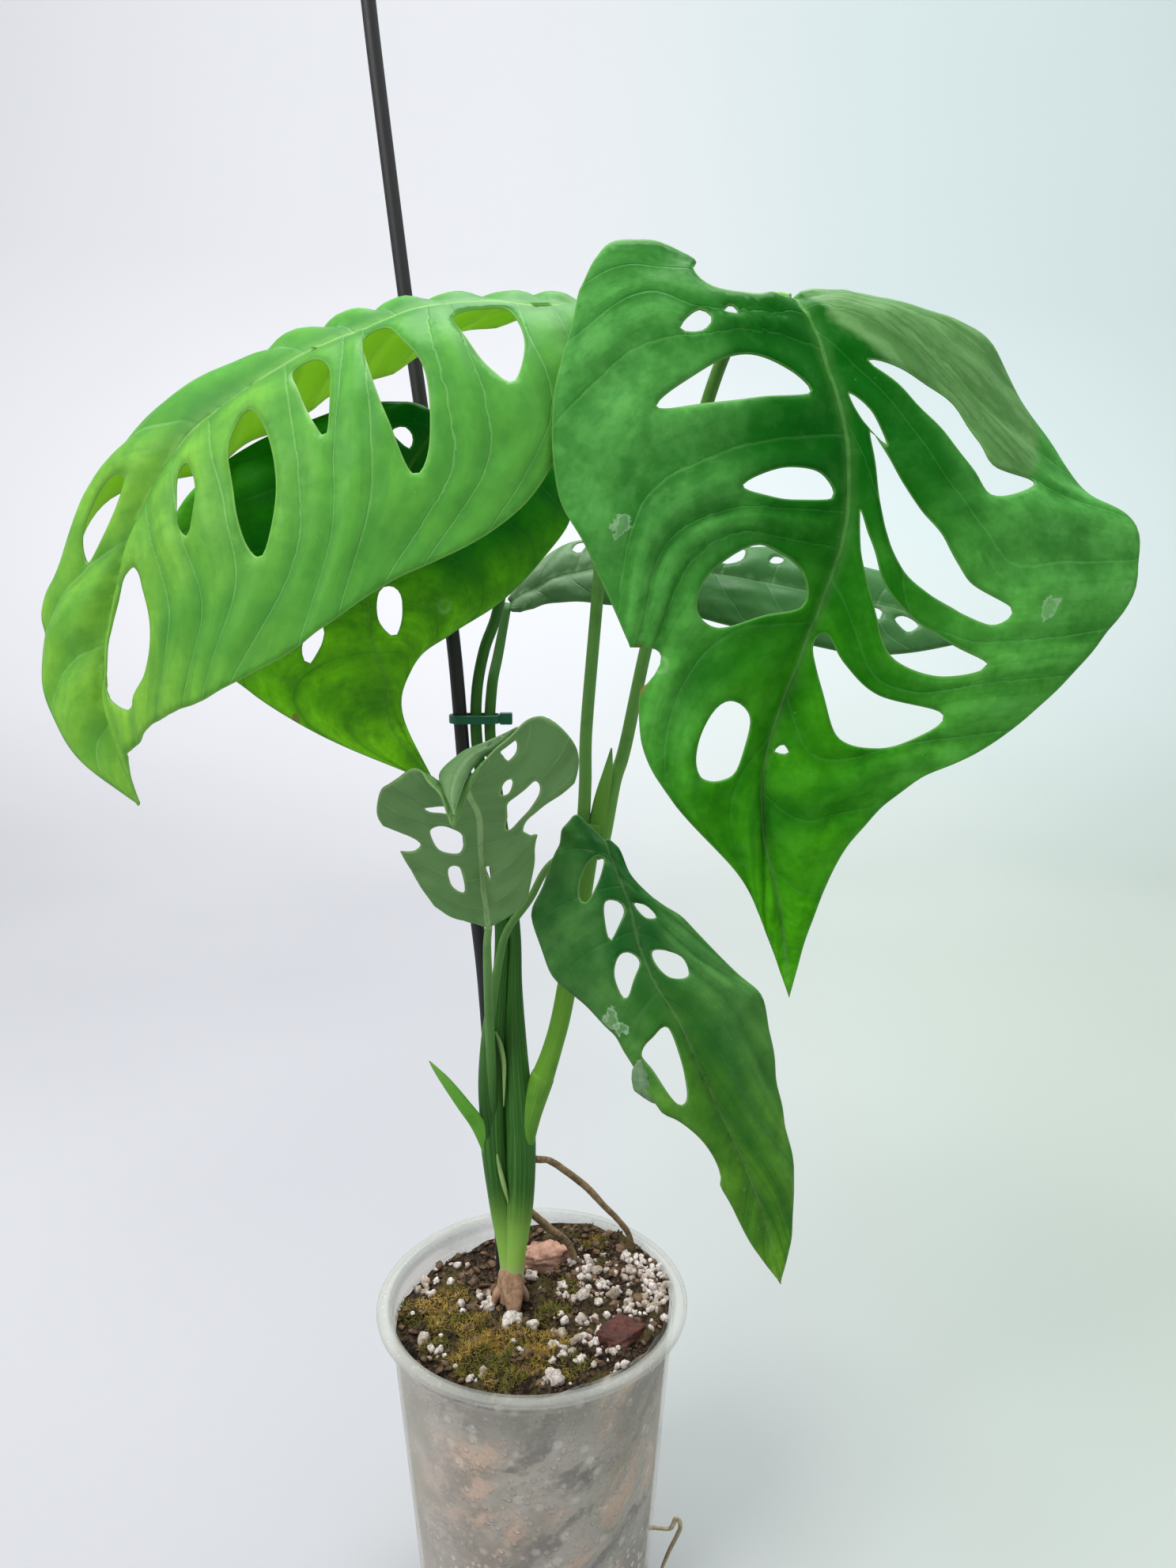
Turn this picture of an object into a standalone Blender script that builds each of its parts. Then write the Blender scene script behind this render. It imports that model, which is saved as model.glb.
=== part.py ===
"""A monstera epipremnoides in its clear nursery pot, at its real size.

Six fenestrated leaves stand on long petioles that leave one crown. A stake and a plant tie hold them.
The origin is the centre of the pot's underside. +Z is up and the plant's front faces -Y.
Sizes are in millimetres and become metres when a mesh is made.
"""

import math
import random
from bisect import bisect_right
from dataclasses import dataclass

import bmesh
import bpy
from mathutils import Matrix, Vector

MM = 0.001
GAP = 0.3

POT_HEIGHT = 140.0
POT_RIM_RADIUS = 60.0
POT_BASE_RADIUS = 45.1
POT_TAPER = 0.0714
POT_WALL = 1.0
POT_FLOOR = 1.2
POT_SKIRT = 3.8
POT_SIDES = 36
DRAIN_HOLES = 6
DRAIN_RING = 30.0
DRAIN_RADIUS = 4.0
SLOT_WIDTH = 6.0
SLOT_LOW, SLOT_HIGH = 14.0, 36.0

SOIL_LEVEL = 133.5
SOIL_RISE = 5.0
SOIL_TURN = -6.0
SOIL_RUN = 20.0
SOIL_RINGS = 5
SOIL_BOTTOM = 3.3
SOIL_CLEAR = 0.6
HOLE_TOP = 170.0
GRAINS = 42
GRAIN_SMALL, GRAIN_LARGE = 1.6, 3.0
GRAIN_TRIES = 4000

CROWN = (-8.5, 7.5)
CROWN_RADIUS = 5.8
STAKE_RADIUS = 2.5
BLADE_THICKNESS = 0.8
BLADE_SPACING = 8.5
MARGIN_SPACING = 6.8
HOLE_SPACING = 6.0
HOLE_CORNERS = 7
LONGEST_EDGE = 1.9
TUBE_RESOLUTION = 2
RANDOM_SEED = 7


@dataclass(frozen=True)
class Station:
    """A cut across a leaf: the midrib, both margins, and how far each half bulges to its upper side."""

    mid: tuple
    left: tuple
    right: tuple
    bulge: tuple = (0.0, 0.0)


@dataclass(frozen=True)
class Leaf:
    """One blade: its cuts from base to tip, the rounded edge beside its base, its openings and its nicks.

    A place on a blade is (t, s): t counts stations from the base, and s is the part of a half's width,
    below 0 on the left half and above 0 on the right. A nick is (side, start, end, depth) along a margin.
    """

    name: str
    colour: tuple
    stations: tuple
    base_left: tuple
    base_right: tuple
    holes: tuple
    nicks: tuple = ()


def metres(point):
    """The place of a point given in millimetres."""
    return Vector(point) * MM


def material(name, colour, roughness, metallic=0.0, alpha=1.0):
    """A plain surface of one colour."""
    made = bpy.data.materials.new(name)
    made.use_nodes = True
    shader = made.node_tree.nodes["Principled BSDF"]
    shader.inputs["Base Color"].default_value = (*colour, 1.0)
    shader.inputs["Roughness"].default_value = roughness
    shader.inputs["Metallic"].default_value = metallic
    shader.inputs["Alpha"].default_value = alpha
    return made


def add_object(name, mesh, collection, surface=None):
    """A new object of this mesh in the collection."""
    made = bpy.data.objects.new(name, mesh)
    collection.objects.link(made)
    if surface:
        mesh.materials.append(surface)
    return made


def mesh_of(bm, name, smooth=True):
    """The mesh that this bmesh holds, which is freed."""
    mesh = bpy.data.meshes.new(name)
    bm.to_mesh(mesh)
    bm.free()
    if smooth:
        mesh.shade_smooth()
    return mesh


def apply_modifiers(made):
    """Replaces the object's mesh by what its modifiers make of it."""
    bpy.context.view_layer.update()
    graph = bpy.context.evaluated_depsgraph_get()
    mesh = bpy.data.meshes.new_from_object(made.evaluated_get(graph))
    made.modifiers.clear()
    made.data = mesh


def boolean(made, operation, other=None, collection=None):
    """Joins or cuts the object with another object, or with all of a collection, for good."""
    step = made.modifiers.new(operation.title(), "BOOLEAN")
    step.operation = operation
    if collection:
        step.operand_type = "COLLECTION"
        step.collection = collection
    else:
        step.object = other
    apply_modifiers(made)


def discard(objects):
    """Removes helper objects that have done their work."""
    for helper in list(objects):
        bpy.data.objects.remove(helper)


def spline(points, t):
    """The point at t, counted in control points, of a smooth curve through all of them."""
    last = len(points) - 1
    i = min(max(int(math.floor(t)), 0), last - 1)
    u = t - i
    before = points[i - 1] if i else 2 * points[0] - points[1]
    after = points[i + 2] if i + 2 <= last else 2 * points[last] - points[last - 1]
    start, end = points[i], points[i + 1]
    bend = 2 * before - 5 * start + 4 * end - after
    twist = 3 * start - before - 3 * end + after
    return start + 0.5 * u * ((end - before) + u * (bend + u * twist))


def closed_spline(points, t):
    """The point at t, counted in control points, of a smooth closed curve through all of them."""
    i = int(t) % len(points)
    around = [points[(i + step) % len(points)] for step in (-1, 0, 1, 2)]
    return spline(around, 1 + t - int(t))


class Blade:
    """The curved surface of a leaf, read at t stations from its base and s across, -1 left to 1 right."""

    FINE = 24

    def __init__(self, leaf):
        self.leaf = leaf
        self.last = len(leaf.stations) - 1
        self.mid = [Vector(cut.mid) for cut in leaf.stations]
        lefts = [Vector(cut.left) for cut in leaf.stations]
        rights = [Vector(cut.right) for cut in leaf.stations]
        self.sides = [lefts, rights]
        self.bulges = [[cut.bulge[side] for cut in leaf.stations] for side in (0, 1)]
        steps = range(self.FINE * self.last + 1)
        line = [spline(self.mid, step / self.FINE) for step in steps]
        self.run = [0.0]
        for here, there in zip(line, line[1:]):
            self.run.append(self.run[-1] + (there - here).length)

    def along(self, t):
        """The length of midrib from the base to t, which goes on in a straight line before the base."""
        if t <= 0:
            return t * self.run[self.FINE]
        step = min(t * self.FINE, len(self.run) - 1.0)
        low = min(int(step), len(self.run) - 2)
        return self.run[low] + (step - low) * (self.run[low + 1] - self.run[low])

    def station(self, length):
        """The t at this length of midrib."""
        if length <= 0:
            return length / self.run[self.FINE]
        low = min(bisect_right(self.run, length), len(self.run) - 1) - 1
        part = (length - self.run[low]) / (self.run[low + 1] - self.run[low])
        return min((low + part) / self.FINE, float(self.last))

    def chord(self, t, side):
        """The straight way from the midrib to a margin at t."""
        return spline(self.sides[side], t) - spline(self.mid, t)

    def flat(self, t, s):
        """The place of (t, s) on the leaf laid flat, in millimetres."""
        return Vector((self.along(t), s * self.chord(t, s > 0).length, 0.0))

    def point(self, flat):
        """The place in space of a point of the flat leaf."""
        t = self.station(flat.x)
        side = int(flat.y > 0)
        chord = self.chord(t, side)
        s = min(abs(flat.y) / max(chord.length, 1e-6), 1.0)
        ahead = spline(self.mid, t + 0.05) - spline(self.mid, t - 0.05)
        normal = ahead.cross(chord) if side else chord.cross(ahead)
        bulge = spline(self.bulges[side], t) * 4 * s * (1 - s) * (1.3 - 0.6 * s)
        if normal.length > 1e-9:
            normal.normalize()
        return spline(self.mid, t) + chord * s + normal * bulge

    def margin(self, t, side):
        """How much of the half's width is left at t, where nicks take some away."""
        left = 1.0
        for nick_side, start, end, depth in self.leaf.nicks:
            if nick_side == side and start < t < end:
                left -= depth * math.sin(math.pi * (t - start) / (end - start)) ** 0.6
        return left

    def half_outline(self, side):
        """One half's outline on the flat leaf, from the base along its margin to the tip."""
        base = [Vector(place) for place in (self.leaf.base_right if side else self.leaf.base_left)]
        steps = self.FINE * (len(base) - 1)
        points = [tuple(spline(base, step / self.FINE)) for step in range(steps)]
        start, sign = base[-1].x, base[-1].y
        steps = int((self.last - start) * self.FINE)
        for step in range(steps):
            t = start + (self.last - start) * step / steps
            points.append((t, sign * self.margin(t, side)))
        return [self.flat(t, s) for t, s in points]

    def outline(self, spacing):
        """The closed outline on the flat leaf, with its points about this far apart."""
        tip = self.flat(self.last, 0.0)
        right, left = self.half_outline(1), self.half_outline(0)
        return thinned(right, spacing, tip) + [tip] + thinned(left, spacing, tip)[:0:-1]

    def hole_outline(self, hole, spacing):
        """The outline of one opening on the flat leaf: a smooth closed curve through its points."""
        places = [Vector(place) for place in hole]
        steps = self.FINE * len(places)
        ring = [self.flat(*closed_spline(places, step / self.FINE)) for step in range(steps)]
        around = sum((there - here).length for here, there in zip(ring, ring[1:]))
        return thinned(ring, min(spacing, around / HOLE_CORNERS), ring[0])


def thinned(points, spacing, end):
    """The points of a fine line that lie at least this far apart, and well clear of its end."""
    kept = [points[0]]
    for point in points[1:]:
        if (point - kept[-1]).length >= spacing and (point - end).length >= 0.6 * spacing:
            kept.append(point)
    return kept


def flat_sheet(rings, spacing):
    """A flat sheet of even triangles inside the first ring and outside the others."""
    bm = bmesh.new()
    for ring in rings:
        corners = [bm.verts.new(point) for point in ring]
        for here, there in zip(corners, corners[1:] + corners[:1]):
            bm.edges.new((here, there))
    bmesh.ops.triangle_fill(bm, use_beauty=True, normal=(0, 0, 1), edges=bm.edges[:])
    for _ in range(5):
        inner = [edge for edge in bm.edges if not edge.is_boundary]
        long = [edge for edge in inner if edge.calc_length() > LONGEST_EDGE * spacing]
        if not long:
            break
        bmesh.ops.subdivide_edges(bm, edges=long, cuts=1)
        bmesh.ops.triangulate(bm, faces=bm.faces[:])
        inner = [edge for edge in bm.edges if not edge.is_boundary]
        bmesh.ops.beautify_fill(bm, faces=bm.faces[:], edges=inner)
        loose = [vert for vert in bm.verts if not vert.is_boundary]
        bmesh.ops.smooth_vert(bm, verts=loose, factor=0.5, use_axis_x=True, use_axis_y=True)
    bmesh.ops.recalc_face_normals(bm, faces=bm.faces[:])
    if sum(face.normal.z for face in bm.faces) < 0:
        bmesh.ops.reverse_faces(bm, faces=bm.faces[:])
    return bm


def add_leaf(leaf, collection):
    """A thin closed blade with its openings, split into triangles alike on both faces."""
    blade = Blade(leaf)
    rings = [blade.outline(MARGIN_SPACING)]
    rings += [blade.hole_outline(hole, HOLE_SPACING) for hole in leaf.holes]
    bm = flat_sheet(rings, BLADE_SPACING)
    for vert in bm.verts:
        vert.co = blade.point(vert.co) * MM
    bm.normal_update()
    made = add_object(leaf.name, mesh_of(bm, leaf.name), collection, material(leaf.name, leaf.colour, 0.45))
    shell = made.modifiers.new("Thickness", "SOLIDIFY")
    shell.thickness = BLADE_THICKNESS * MM
    shell.offset = 0.0
    shell.use_quality_normals = True
    return made


def add_tube(name, points, collection, surface, fine=2):
    """A round stem through points (x, y, z, radius), as a closed mesh."""
    places = [Vector(point[:3]) for point in points]
    radii = [point[3] for point in points]
    steps = fine * (len(points) - 1)
    curve = bpy.data.curves.new(name, "CURVE")
    curve.dimensions = "3D"
    curve.bevel_depth = MM
    curve.bevel_resolution = TUBE_RESOLUTION
    curve.use_fill_caps = True
    line = curve.splines.new("POLY")
    line.points.add(steps)
    for step, point in enumerate(line.points):
        point.co = (*(spline(places, step / fine) * MM), 1.0)
        point.radius = spline(radii, step / fine)
    guide = bpy.data.objects.new(name, curve)
    collection.objects.link(guide)
    bpy.context.view_layer.update()
    graph = bpy.context.evaluated_depsgraph_get()
    mesh = bpy.data.meshes.new_from_object(guide.evaluated_get(graph))
    bpy.data.objects.remove(guide)
    bm = bmesh.new()
    bm.from_mesh(mesh)
    bmesh.ops.remove_doubles(bm, verts=bm.verts, dist=1e-6)
    bmesh.ops.recalc_face_normals(bm, faces=bm.faces)
    bm.to_mesh(mesh)
    bm.free()
    mesh.shade_smooth()
    mesh.materials.clear()
    return add_object(name, mesh, collection, surface)


def pot_outer_radius(z):
    """The radius of the pot's outer wall at this height."""
    return POT_BASE_RADIUS + POT_TAPER * z


def pot_profile():
    """Half of the pot's cut, from the inner floor's centre over the rolled rim to the underside's centre."""
    top = POT_HEIGHT
    wall_top = top - 2.4
    inner_top = pot_outer_radius(wall_top) - POT_WALL
    rim = POT_RIM_RADIUS
    return [
        (0.0, POT_FLOOR),
        (POT_BASE_RADIUS - 2.2, POT_FLOOR),
        (pot_outer_radius(3.0) - POT_WALL, 3.0),
        (inner_top, wall_top),
        (inner_top + 0.5, top - 0.8),
        (inner_top + 1.8, top),
        (rim - 1.6, top),
        (rim - 0.3, top - 0.8),
        (rim, top - 2.2),
        (rim - 0.4, top - POT_SKIRT),
        (rim - 1.4, top - POT_SKIRT),
        (rim - 1.1, top - 2.2),
        (rim - 2.2, top - 1.1),
        (inner_top + POT_WALL + 0.9, top - 1.2),
        (inner_top + POT_WALL, wall_top),
        (pot_outer_radius(2.0), 2.0),
        (POT_BASE_RADIUS - 0.5, 0.4),
        (POT_BASE_RADIUS - 1.3, 0.0),
        (0.0, 0.0),
    ]


def add_cylinder(name, radius, low, high, place, collection, sides=12):
    """An upright cylinder between two heights."""
    bm = bmesh.new()
    wide = radius * MM
    bmesh.ops.create_cone(
        bm, cap_ends=True, segments=sides, radius1=wide, radius2=wide, depth=(high - low) * MM
    )
    made = add_object(name, mesh_of(bm, name, smooth=False), collection)
    made.matrix_world = Matrix.Translation(metres((*place, (low + high) / 2)))
    return made


def add_pot(collection, cutters):
    """The turned pot with its drain holes and the slots low in its wall."""
    profile = pot_profile()
    bm = bmesh.new()
    corners = [bm.verts.new(metres((radius, 0.0, z))) for radius, z in profile]
    for here, there in zip(corners, corners[1:]):
        bm.edges.new((here, there))
    surface = material("clear_plastic", (0.80, 0.82, 0.80), 0.35, alpha=0.6)
    pot = add_object("pot", mesh_of(bm, "pot", smooth=False), collection, surface)
    turned = pot.modifiers.new("Turn", "SCREW")
    turned.steps = turned.render_steps = POT_SIDES
    turned.use_merge_vertices = True
    turned.merge_threshold = 0.00005
    apply_modifiers(pot)
    for number in range(DRAIN_HOLES):
        angle = math.tau * number / DRAIN_HOLES
        place = (DRAIN_RING * math.cos(angle), DRAIN_RING * math.sin(angle))
        add_cylinder("drain", DRAIN_RADIUS, -3, POT_FLOOR + 3, place, cutters)
        add_slot_cutter(angle, cutters)
    boolean(pot, "DIFFERENCE", collection=cutters)
    discard(cutters.objects)
    pot.data.shade_smooth()
    pot.data.set_sharp_from_angle(angle=math.radians(40))
    return pot


def add_slot_cutter(angle, cutters):
    """A box across the wall, where a slot opens."""
    bm = bmesh.new()
    bmesh.ops.create_cube(bm, size=MM)
    bmesh.ops.scale(bm, vec=(14.0, SLOT_WIDTH, SLOT_HIGH - SLOT_LOW), verts=bm.verts)
    made = add_object("slot", mesh_of(bm, "slot", smooth=False), cutters)
    middle = (SLOT_LOW + SLOT_HIGH) / 2
    reach = pot_outer_radius(middle)
    place = metres((reach * math.cos(angle), reach * math.sin(angle), middle))
    made.matrix_world = Matrix.Translation(place) @ Matrix.Rotation(angle, 4, "Z")
    return made


def soil_height(x, y):
    """The height of the potting mix, which is low on the left and heaped on the right, with small lumps."""
    rise = SOIL_RISE * math.tanh((x - SOIL_TURN) / SOIL_RUN)
    lumps = 0.8 * math.sin(0.31 * x + 1.0) * math.cos(0.27 * y) + 0.6 * math.sin(0.53 * y + 0.2 * x)
    return SOIL_LEVEL + rise + lumps


def add_grains(bodies, keep_clear):
    """Perlite and bark crumbs half sunk in the mix, clear of what stands in it and of the wall."""
    rng = random.Random(RANDOM_SEED)
    placed = []
    for _ in range(GRAIN_TRIES):
        if len(placed) == GRAINS:
            break
        size = rng.uniform(GRAIN_SMALL, GRAIN_LARGE)
        reach = (POT_BASE_RADIUS + 3.0) * math.sqrt(rng.random())
        angle = rng.uniform(0, math.tau)
        x, y = reach * math.cos(angle), reach * math.sin(angle)
        clear = all(math.hypot(x - a, y - b) > size + r + 1.2 for a, b, r in keep_clear + placed)
        squash = rng.uniform(0.75, 1.1)
        lean = Matrix.Rotation(rng.uniform(0, 1.5), 4, "X")
        turn = Matrix.Rotation(rng.uniform(0, math.tau), 4, "Z") @ lean
        if not clear:
            continue
        placed.append((x, y, size * 0.8))
        bm = bmesh.new()
        bmesh.ops.create_icosphere(bm, subdivisions=1, radius=size * MM)
        bmesh.ops.transform(bm, matrix=Matrix.Diagonal((1.0, squash, 0.85, 1.0)), verts=bm.verts)
        grain = add_object("grain", mesh_of(bm, "grain", smooth=False), bodies)
        grain.matrix_world = Matrix.Translation(metres((x, y, soil_height(x, y) + 0.35 * size))) @ turn


def add_block(name, size, place, turn, collection, surface=None):
    """A bark block with bevelled corners, turned about the upright."""
    bm = bmesh.new()
    bmesh.ops.create_cube(bm, size=MM)
    bmesh.ops.scale(bm, vec=size, verts=bm.verts)
    made = add_object(name, mesh_of(bm, name, smooth=False), collection, surface)
    corners = made.modifiers.new("Corners", "BEVEL")
    corners.width = BARK_BEVEL * MM
    corners.segments = 1
    corners.limit_method = "NONE"
    made.matrix_world = Matrix.Translation(metres(place)) @ Matrix.Rotation(math.radians(turn), 4, "Z")
    return made


def add_soil(collection, cutters, bodies, standing):
    """The potting mix that fills the pot, with holes for what stands in it and beds for the bark."""
    low, rings = SOIL_BOTTOM, SOIL_RINGS
    bottom = pot_outer_radius(low) - POT_WALL - SOIL_CLEAR
    top = pot_outer_radius(SOIL_LEVEL) - POT_WALL - SOIL_CLEAR
    bm = bmesh.new()
    made = bmesh.ops.create_cone(
        bm,
        cap_ends=True,
        segments=POT_SIDES,
        radius1=bottom * MM,
        radius2=top * MM,
        depth=(SOIL_LEVEL - low) * MM,
    )
    bmesh.ops.translate(bm, vec=metres((0, 0, (SOIL_LEVEL + low) / 2)), verts=made["verts"])
    cap = max(bm.faces, key=lambda face: face.calc_center_median().z)
    for _ in range(rings):
        bmesh.ops.inset_region(bm, faces=[cap], thickness=top * MM / (rings + 0.8), use_even_offset=True)
    bmesh.ops.poke(bm, faces=[cap])
    for vert in bm.verts:
        if vert.co.z > (SOIL_LEVEL - 1) * MM:
            x, y = vert.co.x / MM, vert.co.y / MM
            height = soil_height(x, y)
            if math.hypot(x, y) > top - 1:
                reach = (pot_outer_radius(height) - POT_WALL - SOIL_CLEAR) / top
                vert.co.x, vert.co.y = x * reach * MM, y * reach * MM
            vert.co.z = height * MM
    brown = material("mix", (0.10, 0.07, 0.04), 0.9)
    soil = add_object("potting_mix", mesh_of(bm, "potting_mix"), collection, brown)
    keep_clear = []
    for place, radius, bottom_z in standing:
        add_cylinder("hole", radius, bottom_z, HOLE_TOP, place, cutters)
        keep_clear.append((*place, radius))
    for name, size, place, turn, colour in BARK:
        add_block(name, size, place, turn, collection, material(name, colour, 0.85))
        add_block("bed", [side + 2 * GAP for side in size], place, turn, cutters)
        keep_clear.append((place[0], place[1], max(size) / 2))
    add_grains(bodies, keep_clear)
    boolean(soil, "UNION", collection=bodies)
    discard(bodies.objects)
    boolean(soil, "DIFFERENCE", collection=cutters)
    discard(cutters.objects)
    return soil


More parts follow.
